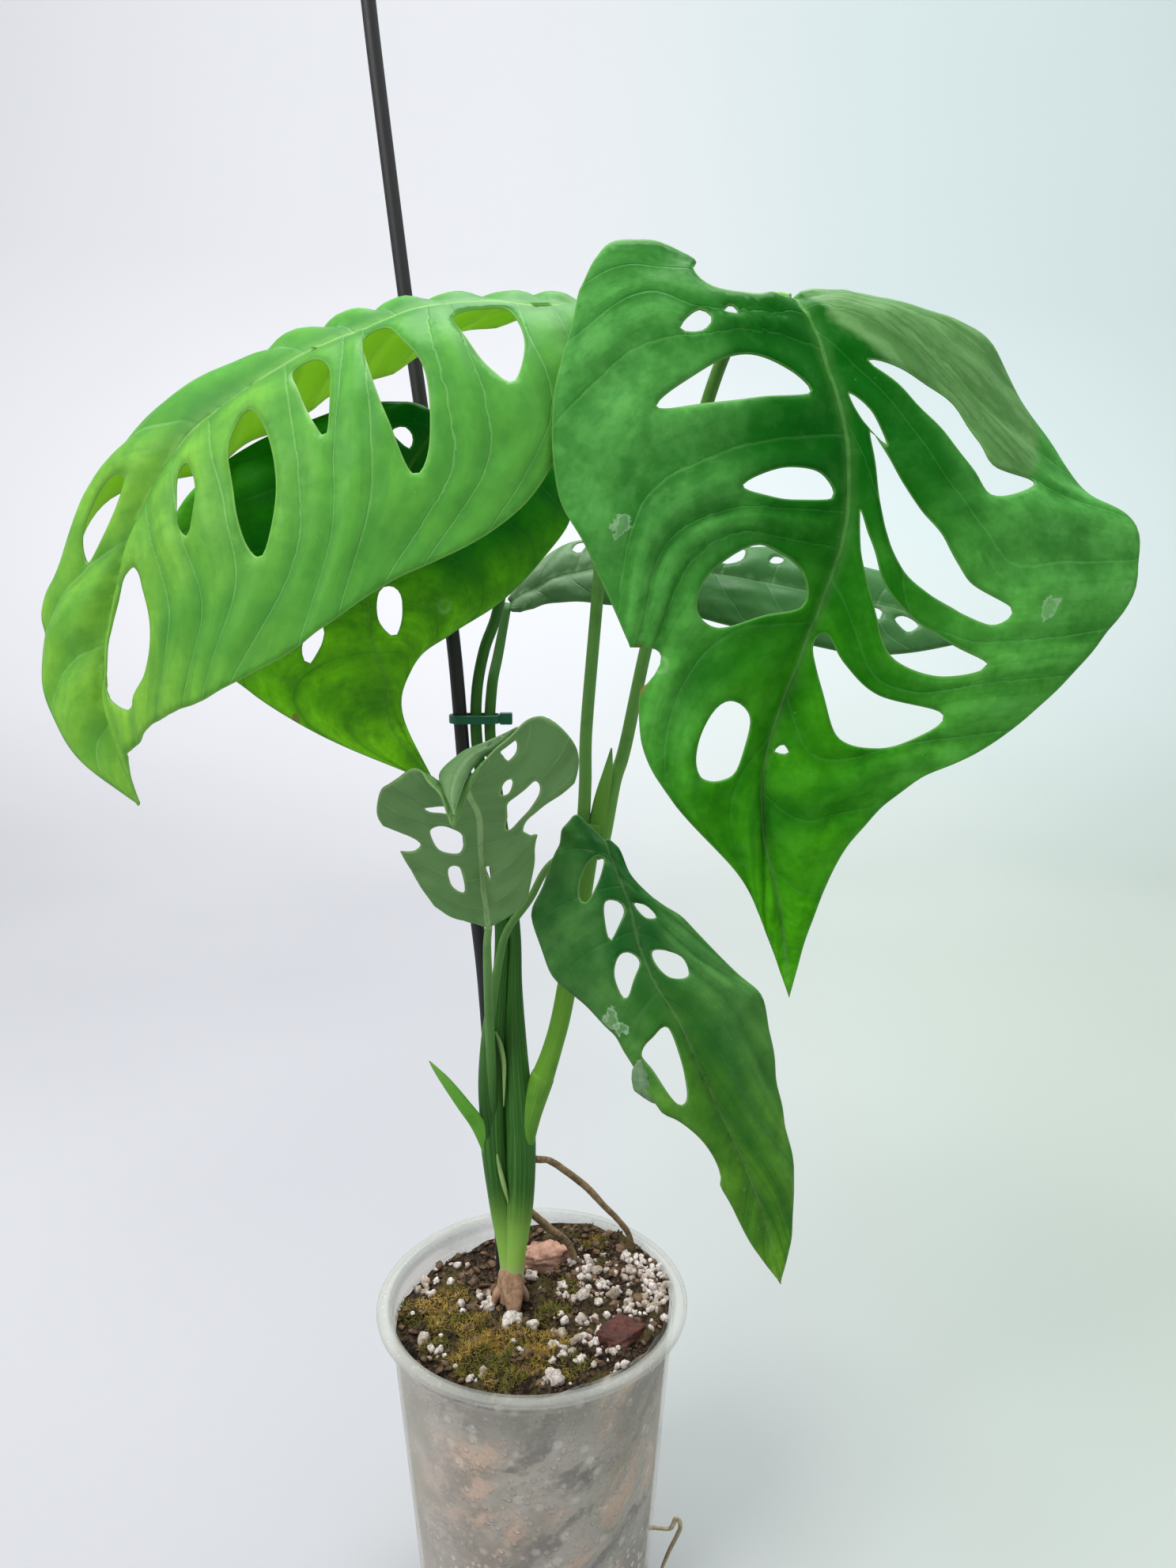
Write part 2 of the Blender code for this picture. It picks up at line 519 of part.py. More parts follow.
LEAVES = (
    Leaf(
        name="leaf_arching",
        colour=(0.08, 0.30, 0.04),
        base_left=((0, 0), (0.0, -0.6), (0.2, -1)),
        base_right=((0, 0), (0.0, 0.6), (0.2, 1)),
        stations=(
            Station((28, -26, 497), (22, -16, 498), (30, -40, 488)),
            Station((9, -32, 496), (-16, 2, 494), (4, -70, 437), (4, 8)),
            Station((-21, -40, 495), (-45, 6, 481), (-34, -86, 415), (7, 12)),
            Station((-46, -46, 486), (-72, 6, 470), (-57, -90, 399), (10, 12)),
            Station((-66, -52, 476), (-98, -2, 453), (-79, -90, 387), (12, 10)),
            Station((-92, -56, 457), (-130, -24, 438), (-92, -84, 381), (10, 9)),
            Station((-108, -58, 433), (-145, -36, 410), (-102, -76, 376), (5, 6)),
            Station((-119, -58, 402), (-145, -46, 393), (-111, -68, 368), (4, 3)),
            Station((-122, -58, 379), (-138, -52, 366), (-116, -62, 362), (2, 1)),
            Station((-115, -58, 348), (-115, -58, 348), (-115, -58, 348)),
        ),
        holes=(
            ((5.9, 0.30), (5.5, 0.52), (5.5, 0.70), (6.0, 0.80), (6.8, 0.76), (7.5, 0.28), (6.85, 0.14)),
            ((4.86, 0.18), (4.62, 0.34), (4.64, 0.48), (4.84, 0.41), (4.97, 0.22)),
            (
                (4.22, 0.14), (3.84, 0.29), (3.55, 0.50), (3.56, 0.68),
                (3.82, 0.62), (4.09, 0.45), (4.31, 0.25),
            ),
            ((3.75, 0.08), (3.45, 0.08), (3.13, 0.18), (2.95, 0.42), (3.20, 0.35), (3.55, 0.19)),
            (
                (2.80, 0.09), (2.57, 0.07), (2.25, 0.20), (1.97, 0.36),
                (1.82, 0.62), (1.90, 0.70), (2.20, 0.50), (2.52, 0.29),
            ),
            (
                (1.85, 0.10), (1.60, 0.06), (1.37, 0.07), (1.21, 0.26),
                (1.25, 0.45), (1.45, 0.39), (1.66, 0.26),
            ),
            ((3.58, -0.44), (3.36, -0.41), (3.16, -0.49), (3.30, -0.62)),
            ((4.46, -0.58), (4.24, -0.62), (4.14, -0.76), (4.34, -0.74)),
            ((5.50, -0.18), (5.94, -0.22), (6.20, -0.36), (5.90, -0.44), (5.45, -0.40)),
        ),
    ),
    Leaf(
        name="leaf_hanging",
        colour=(0.05, 0.20, 0.04),
        base_left=(
            (0, 0), (0.55, -0.12), (0.92, -0.25), (0.88, -0.42), (0.5, -0.52), (-0.1, -0.49),
            (-0.3, -0.57), (-0.33, -0.72), (-0.2, -0.87), (0.15, -0.94), (0.7, -1),
        ),
        base_right=((0, 0), (-0.12, 0.15), (0.0, 0.4), (0.15, 0.7), (0.45, 0.93), (0.8, 1)),
        stations=(
            Station((82, -35, 497), (20, -50, 507), (110, -22, 499), (4, 3)),
            Station((86, -42, 490), (18, -56, 490), (139, -26, 490), (8, 4)),
            Station((91, -48, 475), (12, -62, 466), (157, -30, 465), (9, 5)),
            Station((96, -52, 457), (13, -66, 441), (171, -38, 443), (9, 6)),
            Station((97, -54, 437), (22, -68, 423), (185, -46, 431), (8, 6)),
            Station((95, -56, 425), (31, -66, 403), (184, -50, 411), (7, 6)),
            Station((90, -58, 410), (36, -62, 389), (170, -54, 392), (6, 5)),
            Station((85, -58, 396), (38, -58, 366), (147, -56, 369), (5, 5)),
            Station((76, -56, 367), (48, -56, 348), (120, -58, 355), (4, 4)),
            Station((75, -54, 342), (69, -54, 324), (102, -56, 336), (2, 3)),
            Station((82, -52, 312), (78, -50, 305), (92, -53, 310), (1, 1)),
            Station((87, -46, 281), (87, -46, 281), (87, -46, 281)),
        ),
        holes=(
            ((1.47, -0.58), (1.22, -0.51), (1.38, -0.46), (1.52, -0.50)),
            ((1.26, -0.41), (1.17, -0.38), (1.30, -0.35)),
            (
                (2.36, -0.66), (2.08, -0.53), (1.87, -0.38), (1.90, -0.27),
                (2.16, -0.15), (2.42, -0.12), (2.42, -0.30), (2.42, -0.52),
            ),
            ((3.45, -0.42), (3.33, -0.27), (3.48, -0.12), (3.84, -0.07), (3.78, -0.23), (3.65, -0.34)),
            (
                (4.42, -0.42), (4.75, -0.30), (5.30, -0.18), (5.95, -0.12),
                (5.83, -0.35), (5.74, -0.58), (5.27, -0.68), (4.75, -0.63),
            ),
            ((7.02, -0.56), (7.10, -0.43), (7.60, -0.27), (8.05, -0.38), (7.87, -0.68), (7.40, -0.68)),
            ((8.07, 0.05), (7.96, 0.09), (8.04, 0.14)),
            (
                (1.81, 0.18), (1.95, 0.35), (2.25, 0.50), (2.75, 0.54), (3.12, 0.56), (3.20, 0.72),
                (3.55, 0.60), (3.68, 0.48), (3.28, 0.45), (2.75, 0.38), (2.19, 0.27),
            ),
            ((2.36, 0.05), (2.62, 0.11), (3.10, 0.14), (2.75, 0.07)),
            (
                (2.92, 0.09), (3.60, 0.17), (4.50, 0.29), (5.25, 0.42), (5.56, 0.62),
                (5.84, 0.58), (5.60, 0.34), (5.10, 0.18), (4.20, 0.11),
            ),
            (
                (4.10, 0.04), (4.73, 0.08), (5.54, 0.17), (5.98, 0.32), (6.22, 0.50),
                (6.36, 0.68), (6.66, 0.54), (6.62, 0.32), (6.05, 0.19), (5.10, 0.07),
            ),
            (
                (6.97, 0.04), (6.66, 0.06), (6.95, 0.17), (7.14, 0.38), (7.04, 0.68),
                (7.40, 0.70), (7.68, 0.60), (7.70, 0.36), (7.32, 0.15),
            ),
        ),
        nicks=((0, 5.5, 6.25, 0.13),),
    ),
    Leaf(
        name="leaf_drooping",
        colour=(0.03, 0.18, 0.02),
        base_left=((0, 0), (-0.10, -0.5), (0.10, -0.93), (0.45, -1)),
        base_right=((0, 0), (-0.10, 0.5), (0.10, 0.93), (0.45, 1)),
        stations=(
            Station((-27, 4, 466), (-50, 2, 472), (-7, 8, 463), (3, 3)),
            Station((-37, -2, 451), (-76, -2, 463), (10, 14, 453), (6, 6)),
            Station((-45, -8, 434), (-101, -4, 450), (16, 16, 437), (7, 7)),
            Station((-50, -10, 418), (-117, -6, 431), (9, 14, 424), (7, 7)),
            Station((-51, -14, 405), (-115, -10, 411), (-7, 6, 407), (7, 6)),
            Station((-49, -18, 393), (-104, -12, 388), (-24, -2, 396), (6, 5)),
            Station((-45, -20, 380), (-90, -15, 376), (-36, -12, 387), (4, 3)),
            Station((-43, -23, 366), (-66, -22, 363), (-40, -20, 371), (2, 1)),
            Station((-29, -26, 348), (-29, -26, 348), (-29, -26, 348)),
        ),
        holes=(
            ((3.66, 0.06), (3.60, 0.13), (3.95, 0.21), (4.60, 0.25), (4.95, 0.20), (4.45, 0.07)),
            ((4.60, -0.24), (4.96, -0.28), (5.35, -0.42), (4.90, -0.38)),
            ((0.62, -0.31), (0.43, -0.28), (0.54, -0.13), (0.78, -0.09)),
        ),
    ),
    Leaf(
        name="leaf_small",
        colour=(0.10, 0.22, 0.10),
        base_left=((0, 0), (0.0, -0.4), (0.05, -0.8), (0.3, -1)),
        base_right=((0, 0), (0.0, 0.4), (0.05, 0.8), (0.3, 1)),
        stations=(
            Station((-12, -28, 299), (-27, -36, 306), (1, -34, 308)),
            Station((-13, -33, 314), (-33, -43, 319), (4, -40, 323), (-3, -3)),
            Station((-13, -40, 329), (-38, -50, 333), (6, -46, 337), (-3, -3)),
            Station((-13, -46, 342), (-43, -56, 345), (15, -40, 348), (-4, -4)),
            Station((-15, -53, 350), (-39, -62, 355), (18, -36, 361), (-3, -5)),
            Station((-16, -60, 355), (-29, -66, 361), (6, -42, 373), (-2, -4)),
            Station((-18, -68, 353), (-22, -71, 355), (-9, -62, 363)),
            Station((-18, -71, 344), (-18, -71, 344), (-18, -71, 344)),
        ),
        holes=(
            ((4.02, 0.22), (4.40, 0.28), (4.35, 0.36), (3.95, 0.27)),
            ((2.67, 0.31), (3.55, 0.28), (3.98, 0.42), (4.05, 0.54), (3.40, 0.57), (2.60, 0.43)),
            ((1.58, 0.09), (1.58, 0.21), (1.28, 0.19)),
            ((5.24, 0.76), (5.08, 0.62), (5.10, 0.47), (5.50, 0.70)),
            ((1.64, -0.47), (1.64, -0.31), (1.00, -0.33), (1.15, -0.50)),
            ((2.78, -0.52), (2.92, -0.36), (2.50, -0.20), (2.05, -0.28), (2.15, -0.52)),
            ((3.62, -0.54), (3.82, -0.38), (3.62, -0.20), (3.36, -0.24), (3.42, -0.44)),
        ),
        nicks=((0, 1.9, 2.6, 0.3), (1, 2.0, 3.25, 0.42)),
    ),
    Leaf(
        name="leaf_low",
        colour=(0.04, 0.15, 0.06),
        base_left=((0, 0), (-0.35, -0.35), (-0.45, -0.8), (0.1, -1)),
        base_right=((0, 0), (-0.1, 0.5), (0.1, 0.9), (0.35, 1)),
        stations=(
            Station((27, -22, 328), (13, -18, 331), (32, -24, 326)),
            Station((31, -30, 319), (10, -21, 321), (38, -32, 315), (3, 1)),
            Station((35, -36, 310), (3, -27, 303), (53, -38, 305), (5, 2)),
            Station((38, -42, 298), (10, -36, 285), (67, -42, 291), (5, 3)),
            Station((43, -48, 287), (26, -46, 273), (78, -44, 281), (4, 4)),
            Station((51, -53, 275), (34, -55, 265), (82, -46, 264), (3, 4)),
            Station((62, -57, 251), (43, -60, 251), (85, -51, 244), (3, 3)),
            Station((74, -58, 224), (64, -59, 222), (89, -54, 226), (1, 2)),
            Station((81, -57, 203), (75, -58, 200), (89, -56, 201)),
            Station((86, -56, 183), (86, -56, 183), (86, -56, 183)),
        ),
        holes=(
            ((1.93, -0.20), (1.97, -0.08), (2.30, -0.07), (2.76, -0.23), (2.40, -0.24)),
            ((1.98, 0.09), (1.94, 0.30), (2.20, 0.40), (2.31, 0.20)),
            ((3.15, 0.12), (3.05, 0.30), (3.20, 0.42), (3.76, 0.34), (3.86, 0.16), (3.50, 0.09)),
            ((3.17, -0.24), (3.15, -0.10), (3.48, -0.07), (3.90, -0.34), (3.85, -0.47)),
            (
                (4.93, -0.20), (5.50, -0.27), (5.92, -0.44), (6.00, -0.66),
                (5.50, -0.74), (5.10, -0.78), (4.93, -0.48),
            ),
            ((0.69, -0.26), (0.72, -0.15), (1.31, -0.24), (1.88, -0.36), (1.80, -0.46), (1.18, -0.46)),
        ),
        nicks=((0, 6.15, 7.0, 0.36),),
    ),
    Leaf(
        name="leaf_back",
        colour=(0.07, 0.17, 0.08),
        base_left=((0, 0), (-0.10, -0.5), (0.10, -0.93), (0.45, -1)),
        base_right=((0, 0), (-0.10, 0.5), (0.10, 0.93), (0.45, 1)),
        stations=(
            Station((-7, 31, 404), (-4, 26, 400), (-5, 36, 410)),
            Station((12, 38, 413), (10, 30, 404), (12, 52, 424), (2, 2)),
            Station((40, 48, 416), (40, 34, 402), (42, 74, 426), (3, 4)),
            Station((72, 56, 413), (70, 40, 396), (76, 88, 424), (3, 5)),
            Station((105, 60, 407), (103, 42, 388), (111, 92, 420), (3, 5)),
            Station((140, 62, 400), (136, 46, 383), (148, 86, 411), (2, 3)),
            Station((184, 62, 389), (184, 62, 389), (184, 62, 389)),
        ),
        holes=(
            ((1.14, 0.58), (1.20, 0.86), (1.33, 0.80), (1.26, 0.47)),
            ((3.00, 0.16), (3.06, 0.38), (3.25, 0.52), (3.24, 0.22)),
            ((3.57, 0.26), (3.63, 0.46), (3.74, 0.46), (3.70, 0.30)),
            ((4.80, -0.10), (4.92, -0.14), (4.87, -0.38)),
            ((5.05, -0.30), (5.16, -0.14), (5.28, -0.34), (5.18, -0.55)),
        ),
    ),
)

SHEATH_LEFT = (
    (-9, 8, 112, 3.4),
    (-9, 8, 132, 4.2),
    (-10, 8, 150, 3.2),
    (-13, 8, 175, 4.0),
    (-15, 8, 205, 4.4),
    (-13.5, 8, 235, 4.2),
    (-11, 9, 262, 3.0),
)
SHEATH_RIGHT = (
    (-9, 7, 112, 3.4),
    (-8, 7, 132, 4.2),
    (-7, 7, 150, 3.4),
    (-4, 7, 175, 4.2),
    (-2.5, 7, 205, 4.2),
    (-4.5, 8, 235, 3.8),
    (-6, 10, 262, 2.8),
)
STEM_RIGHT = (
    (-5, 6, 176, 2.4),
    (-2, 6, 198, 3.2),
    (3.5, 5, 227, 4.7),
    (8.2, 5.5, 240, 3.8),
    (12.5, 6, 256, 3.7),
    (18, 9, 290, 4.0),
    (22, 12, 322, 4.4),
)
NEW_LEAF = (
    (-16, 6, 196, 2.6),
    (-20, 4, 208.5, 3.6),
    (-25, 1, 218, 3.5),
    (-31, -1, 228.5, 2.6),
    (-37, -3, 238, 0.5),
)

PETIOLES = {
    "petiole_arching": (
        (19.8, 12.2, 323, 2.3),
        (20.5, 11, 340, 2.3),
        (21, 8, 362, 2.2),
        (25, 2, 411, 2.1),
        (28, -8, 457, 2.0),
        (29.5, -20, 484, 1.9),
        (28.2, -25.7, 496, 1.8),
    ),
    "petiole_hanging": (
        (24.9, 13, 322.2, 2.6),
        (30, 16, 338, 2.8),
        (35, 18, 352, 2.3),
        (42, 14, 388, 2.2),
        (51, 2, 430, 2.2),
        (59, -14, 468, 2.1),
        (67, -26, 490, 2.0),
        (76, -32, 497, 1.8),
        (81.5, -34.4, 496.8, 1.6),
    ),
    "petiole_drooping": (
        (-11, 9, 262.6, 2.3),
        (-11.5, 10, 285, 2.2),
        (-15, 10, 325, 2.1),
        (-18.5, 9, 362, 2.0),
        (-17, 12, 381, 2.0),
        (-11, 16, 400, 1.9),
        (-7.5, 19, 425, 1.8),
        (-13, 14, 452, 1.7),
        (-25.6, 5.6, 466, 1.5),
    ),
    "petiole_back": (
        (-6, 10, 262.5, 2.2),
        (-6.5, 12, 285, 2.1),
        (-10, 11, 325, 2.0),
        (-13.7, 10, 362, 1.9),
        (-11.5, 20, 385, 1.8),
        (-8, 30.5, 403.2, 1.5),
    ),
    "petiole_small": (
        (-13.5, 1.9, 221.4, 1.6),
        (-14.5, -3, 240, 1.7),
        (-14.5, -12, 266, 1.6),
        (-13, -24, 291, 1.4),
        (-12, -27.8, 298.7, 1.2),
    ),
    "petiole_low": (
        (-6, 2.7, 223.9, 1.5),
        (-10.5, -2, 246, 1.5),
        (-12.5, -6, 264, 1.4),
        (-8, -9, 291, 1.4),
        (9, -13, 317, 1.3),
        (25.3, -19.9, 327.7, 1.2),
    ),
}

ROOTS = {
    "aerial_root_long": (
        (0.9, 10, 191.1, 1.4),
        (7.7, 14, 187.4, 1.4),
        (19.5, 19, 174.8, 1.4),
        (27.4, 22, 164.2, 1.35),
        (34.2, 26, 154.2, 1.3),
        (38.8, 28.3, 145, 1.3),
        (40, 29, 132, 1.2),
    ),
    "aerial_root_short": (
        (-2.4, 11.7, 168.2, 1.5),
        (2.5, 14.5, 162, 1.6),
        (7.4, 17, 155.7, 1.6),
        (13.7, 20.5, 147.4, 1.5),
        (17.8, 21.8, 134, 1.4),
    ),
    "drain_root": (
        (46.2, 0, 31, 0.8),
        (49, 0, 31.2, 0.8),
        (55, 0, 31, 0.7),
        (57.5, 0, 35.5, 0.7),
        (59, 0, 31, 0.6),
        (55, 0.5, 20, 0.6),
        (51.5, 1, 9, 0.5),
    ),
}

BARK = (
    ("bark_tan", (17.0, 11.0, 9.0), (4.2, 24.0, 138.0), 12.0, (0.45, 0.25, 0.16)),
    ("bark_dark", (15.0, 11.0, 10.0), (33.0, -25.0, 138.0), 38.0, (0.08, 0.02, 0.012)),
)
BARK_BEVEL = 2.0

STAKE = (
    (-12, 20, 8, STAKE_RADIUS),
    (-13, 19, 132, STAKE_RADIUS),
    (-17.6, 17.6, 250, STAKE_RADIUS),
    (-21, 13, 300, STAKE_RADIUS),
    (-23.8, 10, 359, STAKE_RADIUS),
    (-27, 12, 400, STAKE_RADIUS),
    (-36, 19, 470, STAKE_RADIUS),
    (-41, 21, 510, STAKE_RADIUS),
    (-49, 24, 585, STAKE_RADIUS),
    (-52, 25, 620, STAKE_RADIUS),
)

TIE_CENTRE = (-18.8, 10.1, 364.0)
TIE_HALF_LENGTH = 5.0
TIE_INNER = 3.3
TIE_BAND = 1.0
TIE_HEIGHT = 3.0
TIE_SIDES = 24
TIE_BLOCK = (4.5, 3.4, 4.2)


def add_tie(collection, bodies):
    """The plant tie: a flat loop round the stake and two petioles, with its catch at the right end."""
    bm = bmesh.new()
    walls = []
    for reach in (TIE_INNER + TIE_BAND, TIE_INNER):
        line = []
        for step in range(TIE_SIDES):
            turn = math.tau * (step + 0.5) / TIE_SIDES
            end = math.copysign(TIE_HALF_LENGTH, math.cos(turn))
            line.append(bm.verts.new(metres((reach * math.cos(turn) + end, reach * math.sin(turn), 0))))
        walls += [bm.edges.new(pair) for pair in zip(line, line[1:] + line[:1])]
    band = bmesh.ops.bridge_loops(bm, edges=walls)["faces"]
    rise = bmesh.ops.extrude_face_region(bm, geom=band)["geom"]
    tops = [part for part in rise if isinstance(part, bmesh.types.BMVert)]
    bmesh.ops.translate(bm, vec=metres((0, 0, TIE_HEIGHT)), verts=tops)
    bmesh.ops.translate(bm, vec=metres((0, 0, -TIE_HEIGHT / 2)), verts=bm.verts)
    bmesh.ops.recalc_face_normals(bm, faces=bm.faces)
    dark_green = material("tie", (0.0, 0.12, 0.06), 0.4)
    tie = add_object("plant_tie", mesh_of(bm, "plant_tie", smooth=False), collection, dark_green)
    bm = bmesh.new()
    bmesh.ops.create_cube(bm, size=MM)
    bmesh.ops.scale(bm, vec=TIE_BLOCK, verts=bm.verts)
    place = TIE_HALF_LENGTH + TIE_INNER + TIE_BAND / 2 + TIE_BLOCK[0] / 2
    bmesh.ops.translate(bm, vec=metres((place, 0, 0)), verts=bm.verts)
    add_object("catch", mesh_of(bm, "catch", smooth=False), bodies)
    boolean(tie, "UNION", collection=bodies)
    discard(bodies.objects)
    tie.matrix_world = Matrix.Translation(metres(TIE_CENTRE))
    return tie


def add_stem(collection, bodies):
    """The crown with its sheathed petiole bases, the right stem and the rolled new leaf, grown as one."""
    green = material("stem", (0.06, 0.22, 0.05), 0.45)
    stem = add_tube("stem", SHEATH_LEFT, collection, green)
    for name, route in (("right_sheath", SHEATH_RIGHT), ("right_stem", STEM_RIGHT), ("new_leaf", NEW_LEAF)):
        add_tube(name, route, bodies, None)
    boolean(stem, "UNION", collection=bodies)
    discard(bodies.objects)
    return stem


def main():
    """Builds the plant in its pot."""
    for old in list(bpy.data.objects):
        bpy.data.objects.remove(old)
    scene = bpy.context.scene.collection
    collections = [bpy.data.collections.new(name) for name in ("monstera_in_pot", "cutters", "bodies")]
    for child in collections:
        scene.children.link(child)
    plant, cutters, bodies = collections
    cutters.hide_render = bodies.hide_render = True

    add_pot(plant, cutters)
    green = material("petiole", (0.12, 0.30, 0.06), 0.45)
    brown = material("root", (0.25, 0.16, 0.08), 0.8)
    dark = material("stake", (0.02, 0.015, 0.02), 0.4)
    add_stem(plant, bodies)
    for name, route in PETIOLES.items():
        add_tube(name, route, plant, green)
    for name, route in ROOTS.items():
        add_tube(name, route, plant, brown)
    add_tube("stake", STAKE, plant, dark, fine=1)
    add_tie(plant, bodies)
    for leaf in LEAVES:
        add_leaf(leaf, plant)
    standing = (
        (CROWN, CROWN_RADIUS + GAP, 111.0),
        ((-12.5, 19.5), STAKE_RADIUS + 1.2, 7.0),
        ((39.8, 28.8), 2.2, 131.0),
        ((17.4, 21.7), 2.8, 133.0),
    )
    add_soil(plant, cutters, bodies, standing)


main()
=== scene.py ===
"""Looks of a monstera in its clear nursery pot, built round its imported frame.

Places and sizes are in millimetres on the same axes as the frame: the origin is the centre of the pot's
underside, +Z is up and the plant's front faces -Y. They become metres when a mesh is made.
"""

import logging
import math
import random
from bisect import bisect_right
from collections.abc import Sequence
from dataclasses import dataclass, field
from enum import Enum

import bmesh
import bpy
from mathutils import Matrix, Vector, noise
from mathutils.kdtree import KDTree


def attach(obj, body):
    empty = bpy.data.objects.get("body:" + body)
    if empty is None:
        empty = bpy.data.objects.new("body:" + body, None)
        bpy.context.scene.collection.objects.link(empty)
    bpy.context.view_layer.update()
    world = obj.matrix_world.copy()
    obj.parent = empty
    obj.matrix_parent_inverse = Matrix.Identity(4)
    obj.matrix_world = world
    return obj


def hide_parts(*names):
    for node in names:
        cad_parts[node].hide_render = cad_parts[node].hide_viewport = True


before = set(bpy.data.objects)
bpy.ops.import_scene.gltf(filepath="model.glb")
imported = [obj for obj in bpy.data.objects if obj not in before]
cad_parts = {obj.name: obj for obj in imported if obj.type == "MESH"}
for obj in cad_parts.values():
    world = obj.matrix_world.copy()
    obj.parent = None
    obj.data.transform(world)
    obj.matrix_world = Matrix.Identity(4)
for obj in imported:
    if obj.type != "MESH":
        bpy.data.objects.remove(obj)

MM = 0.001
BODY = "root"
MOST_SPLITS = 9
TOO_LONG = 1.7
NEAR = 0.01
ROUGH_SEED = 38
log = logging.getLogger("potted_monstera")

Triple = tuple[float, float, float]
Place = tuple[float, float]
Spot = tuple[float, float, float, int]
Path = tuple[tuple[float, float, float, float], ...]
Cut = tuple[Triple] | tuple[Triple, Triple, Triple] | tuple[Triple, Triple, Triple, Place]
Curved = float | Vector


class Side(Enum):
    """A half of a leaf, seen with its upper side up and its tip ahead."""

    LEFT = 0
    RIGHT = 1


class Crumb(Enum):
    """What a loose grain of the potting mix is."""

    PERLITE = "perlite"
    BARK = "bark_crumbs"
    DUST = "fine_crumbs"


# Curves and meshes


def spline(points: Sequence[Curved], t: float) -> Curved:
    """The point at t, counted in control points, of a smooth curve through all of them.

    Args:
        points: Numbers or vectors that the curve passes.
        t: The place on the curve, from 0 to the number of points less one.

    Returns:
        The number or vector there.
    """
    last = len(points) - 1
    i = min(max(int(math.floor(t)), 0), last - 1)
    u = t - i
    before = points[i - 1] if i else 2 * points[0] - points[1]
    after = points[i + 2] if i + 2 <= last else 2 * points[last] - points[last - 1]
    start, end = points[i], points[i + 1]
    bend = 2 * before - 5 * start + 4 * end - after
    twist = 3 * start - before - 3 * end + after
    return start + 0.5 * u * ((end - before) + u * (bend + u * twist))


def closed_spline(points: Sequence[Vector], t: float) -> Vector:
    """The point at t of a smooth closed curve through all the points.

    Args:
        points: Vectors round the curve.
        t: The place, counted in points.

    Returns:
        The vector there.
    """
    i = int(t) % len(points)
    around = [points[(i + step) % len(points)] for step in (-1, 0, 1, 2)]
    return spline(around, 1 + t - int(t))


def eased(value: float, low: float, high: float) -> float:
    """A smooth step: 0 at low or less, and 1 at high or more."""
    part = min(max((value - low) / (high - low), 0.0), 1.0)
    return part * part * (3 - 2 * part)


def thinned(points: list[Vector], spacing: float, end: Vector) -> list[Vector]:
    """Thins a fine line.

    Args:
        points: The line's points.
        spacing: The least distance between two kept points.
        end: A point that the kept ones stay clear of.

    Returns:
        The kept points.
    """
    kept = [points[0]]
    for point in points[1:]:
        if (point - kept[-1]).length >= spacing and (point - end).length >= 0.6 * spacing:
            kept.append(point)
    return kept


def round_place(radius: float, turn: float, z: float = 0.0) -> Vector:
    """The place at this radius and height after this part of a whole turn."""
    return Vector((radius * math.cos(math.tau * turn), radius * math.sin(math.tau * turn), z))


def edges_of(verts: Sequence[bmesh.types.BMVert]) -> list[bmesh.types.BMEdge]:
    """The edges that end at these points, each once."""
    return list(dict.fromkeys(edge for vert in verts for edge in vert.link_edges))


def open_edges(bm: bmesh.types.BMesh, low: float, high: float) -> list[bmesh.types.BMEdge]:
    """The open edges of a mesh whose ends are between two heights.

    Args:
        bm: The mesh.
        low: The lower height.
        high: The upper height.

    Returns:
        The edges.
    """
    edges = [edge for edge in bm.edges if edge.is_boundary]
    return [edge for edge in edges if all(low - NEAR < vert.co.z < high + NEAR for vert in edge.verts)]


def only(parts: Sequence[object], kind: type) -> list:
    """Those of an operator's results that are of one kind."""
    return [part for part in parts if isinstance(part, kind)]


def flat_sheet(rings: list[list[Vector]], spacing: float) -> bmesh.types.BMesh:
    """Fills a flat outline with even triangles.

    Args:
        rings: The outer ring, then one ring for each opening.
        spacing: About how far apart the points are.

    Returns:
        The sheet, with its faces up.
    """
    bm = bmesh.new()
    for ring in rings:
        corners = [bm.verts.new(point) for point in ring]
        for here, there in zip(corners, corners[1:] + corners[:1]):
            bm.edges.new((here, there))
    bmesh.ops.triangle_fill(bm, use_beauty=True, normal=(0, 0, 1), edges=bm.edges[:])
    for _ in range(MOST_SPLITS):
        inner = [edge for edge in bm.edges if not edge.is_boundary]
        long = [edge for edge in inner if edge.calc_length() > TOO_LONG * spacing]
        if not long:
            break
        bmesh.ops.subdivide_edges(bm, edges=long, cuts=1)
        bmesh.ops.triangulate(bm, faces=bm.faces[:])
        inner = [edge for edge in bm.edges if not edge.is_boundary]
        bmesh.ops.beautify_fill(bm, faces=bm.faces[:], edges=inner)
        loose = [vert for vert in bm.verts if not vert.is_boundary]
        bmesh.ops.smooth_vert(bm, verts=loose, factor=0.5, use_axis_x=True, use_axis_y=True)
    bmesh.ops.recalc_face_normals(bm, faces=bm.faces[:])
    if sum(face.normal.z for face in bm.faces) < 0:
        bmesh.ops.reverse_faces(bm, faces=bm.faces[:])
    return bm


def finished(
    bm: bmesh.types.BMesh, name: str, looks: list[bpy.types.Material], smooth: bool = True
) -> bpy.types.Object:
    """Makes an object of a mesh given in millimetres.

    Args:
        bm: The mesh, which is freed.
        name: The object's name.
        looks: Its materials, in slot order.
        smooth: Whether it is shaded smooth.

    Returns:
        The object, at the origin.
    """
    bmesh.ops.scale(bm, vec=(MM, MM, MM), verts=bm.verts)
    mesh = bpy.data.meshes.new(name)
    bm.to_mesh(mesh)
    bm.free()
    for look in looks:
        mesh.materials.append(look)
    if smooth:
        mesh.shade_smooth()
    made = bpy.data.objects.new(name, mesh)
    bpy.context.scene.collection.objects.link(made)
    return made


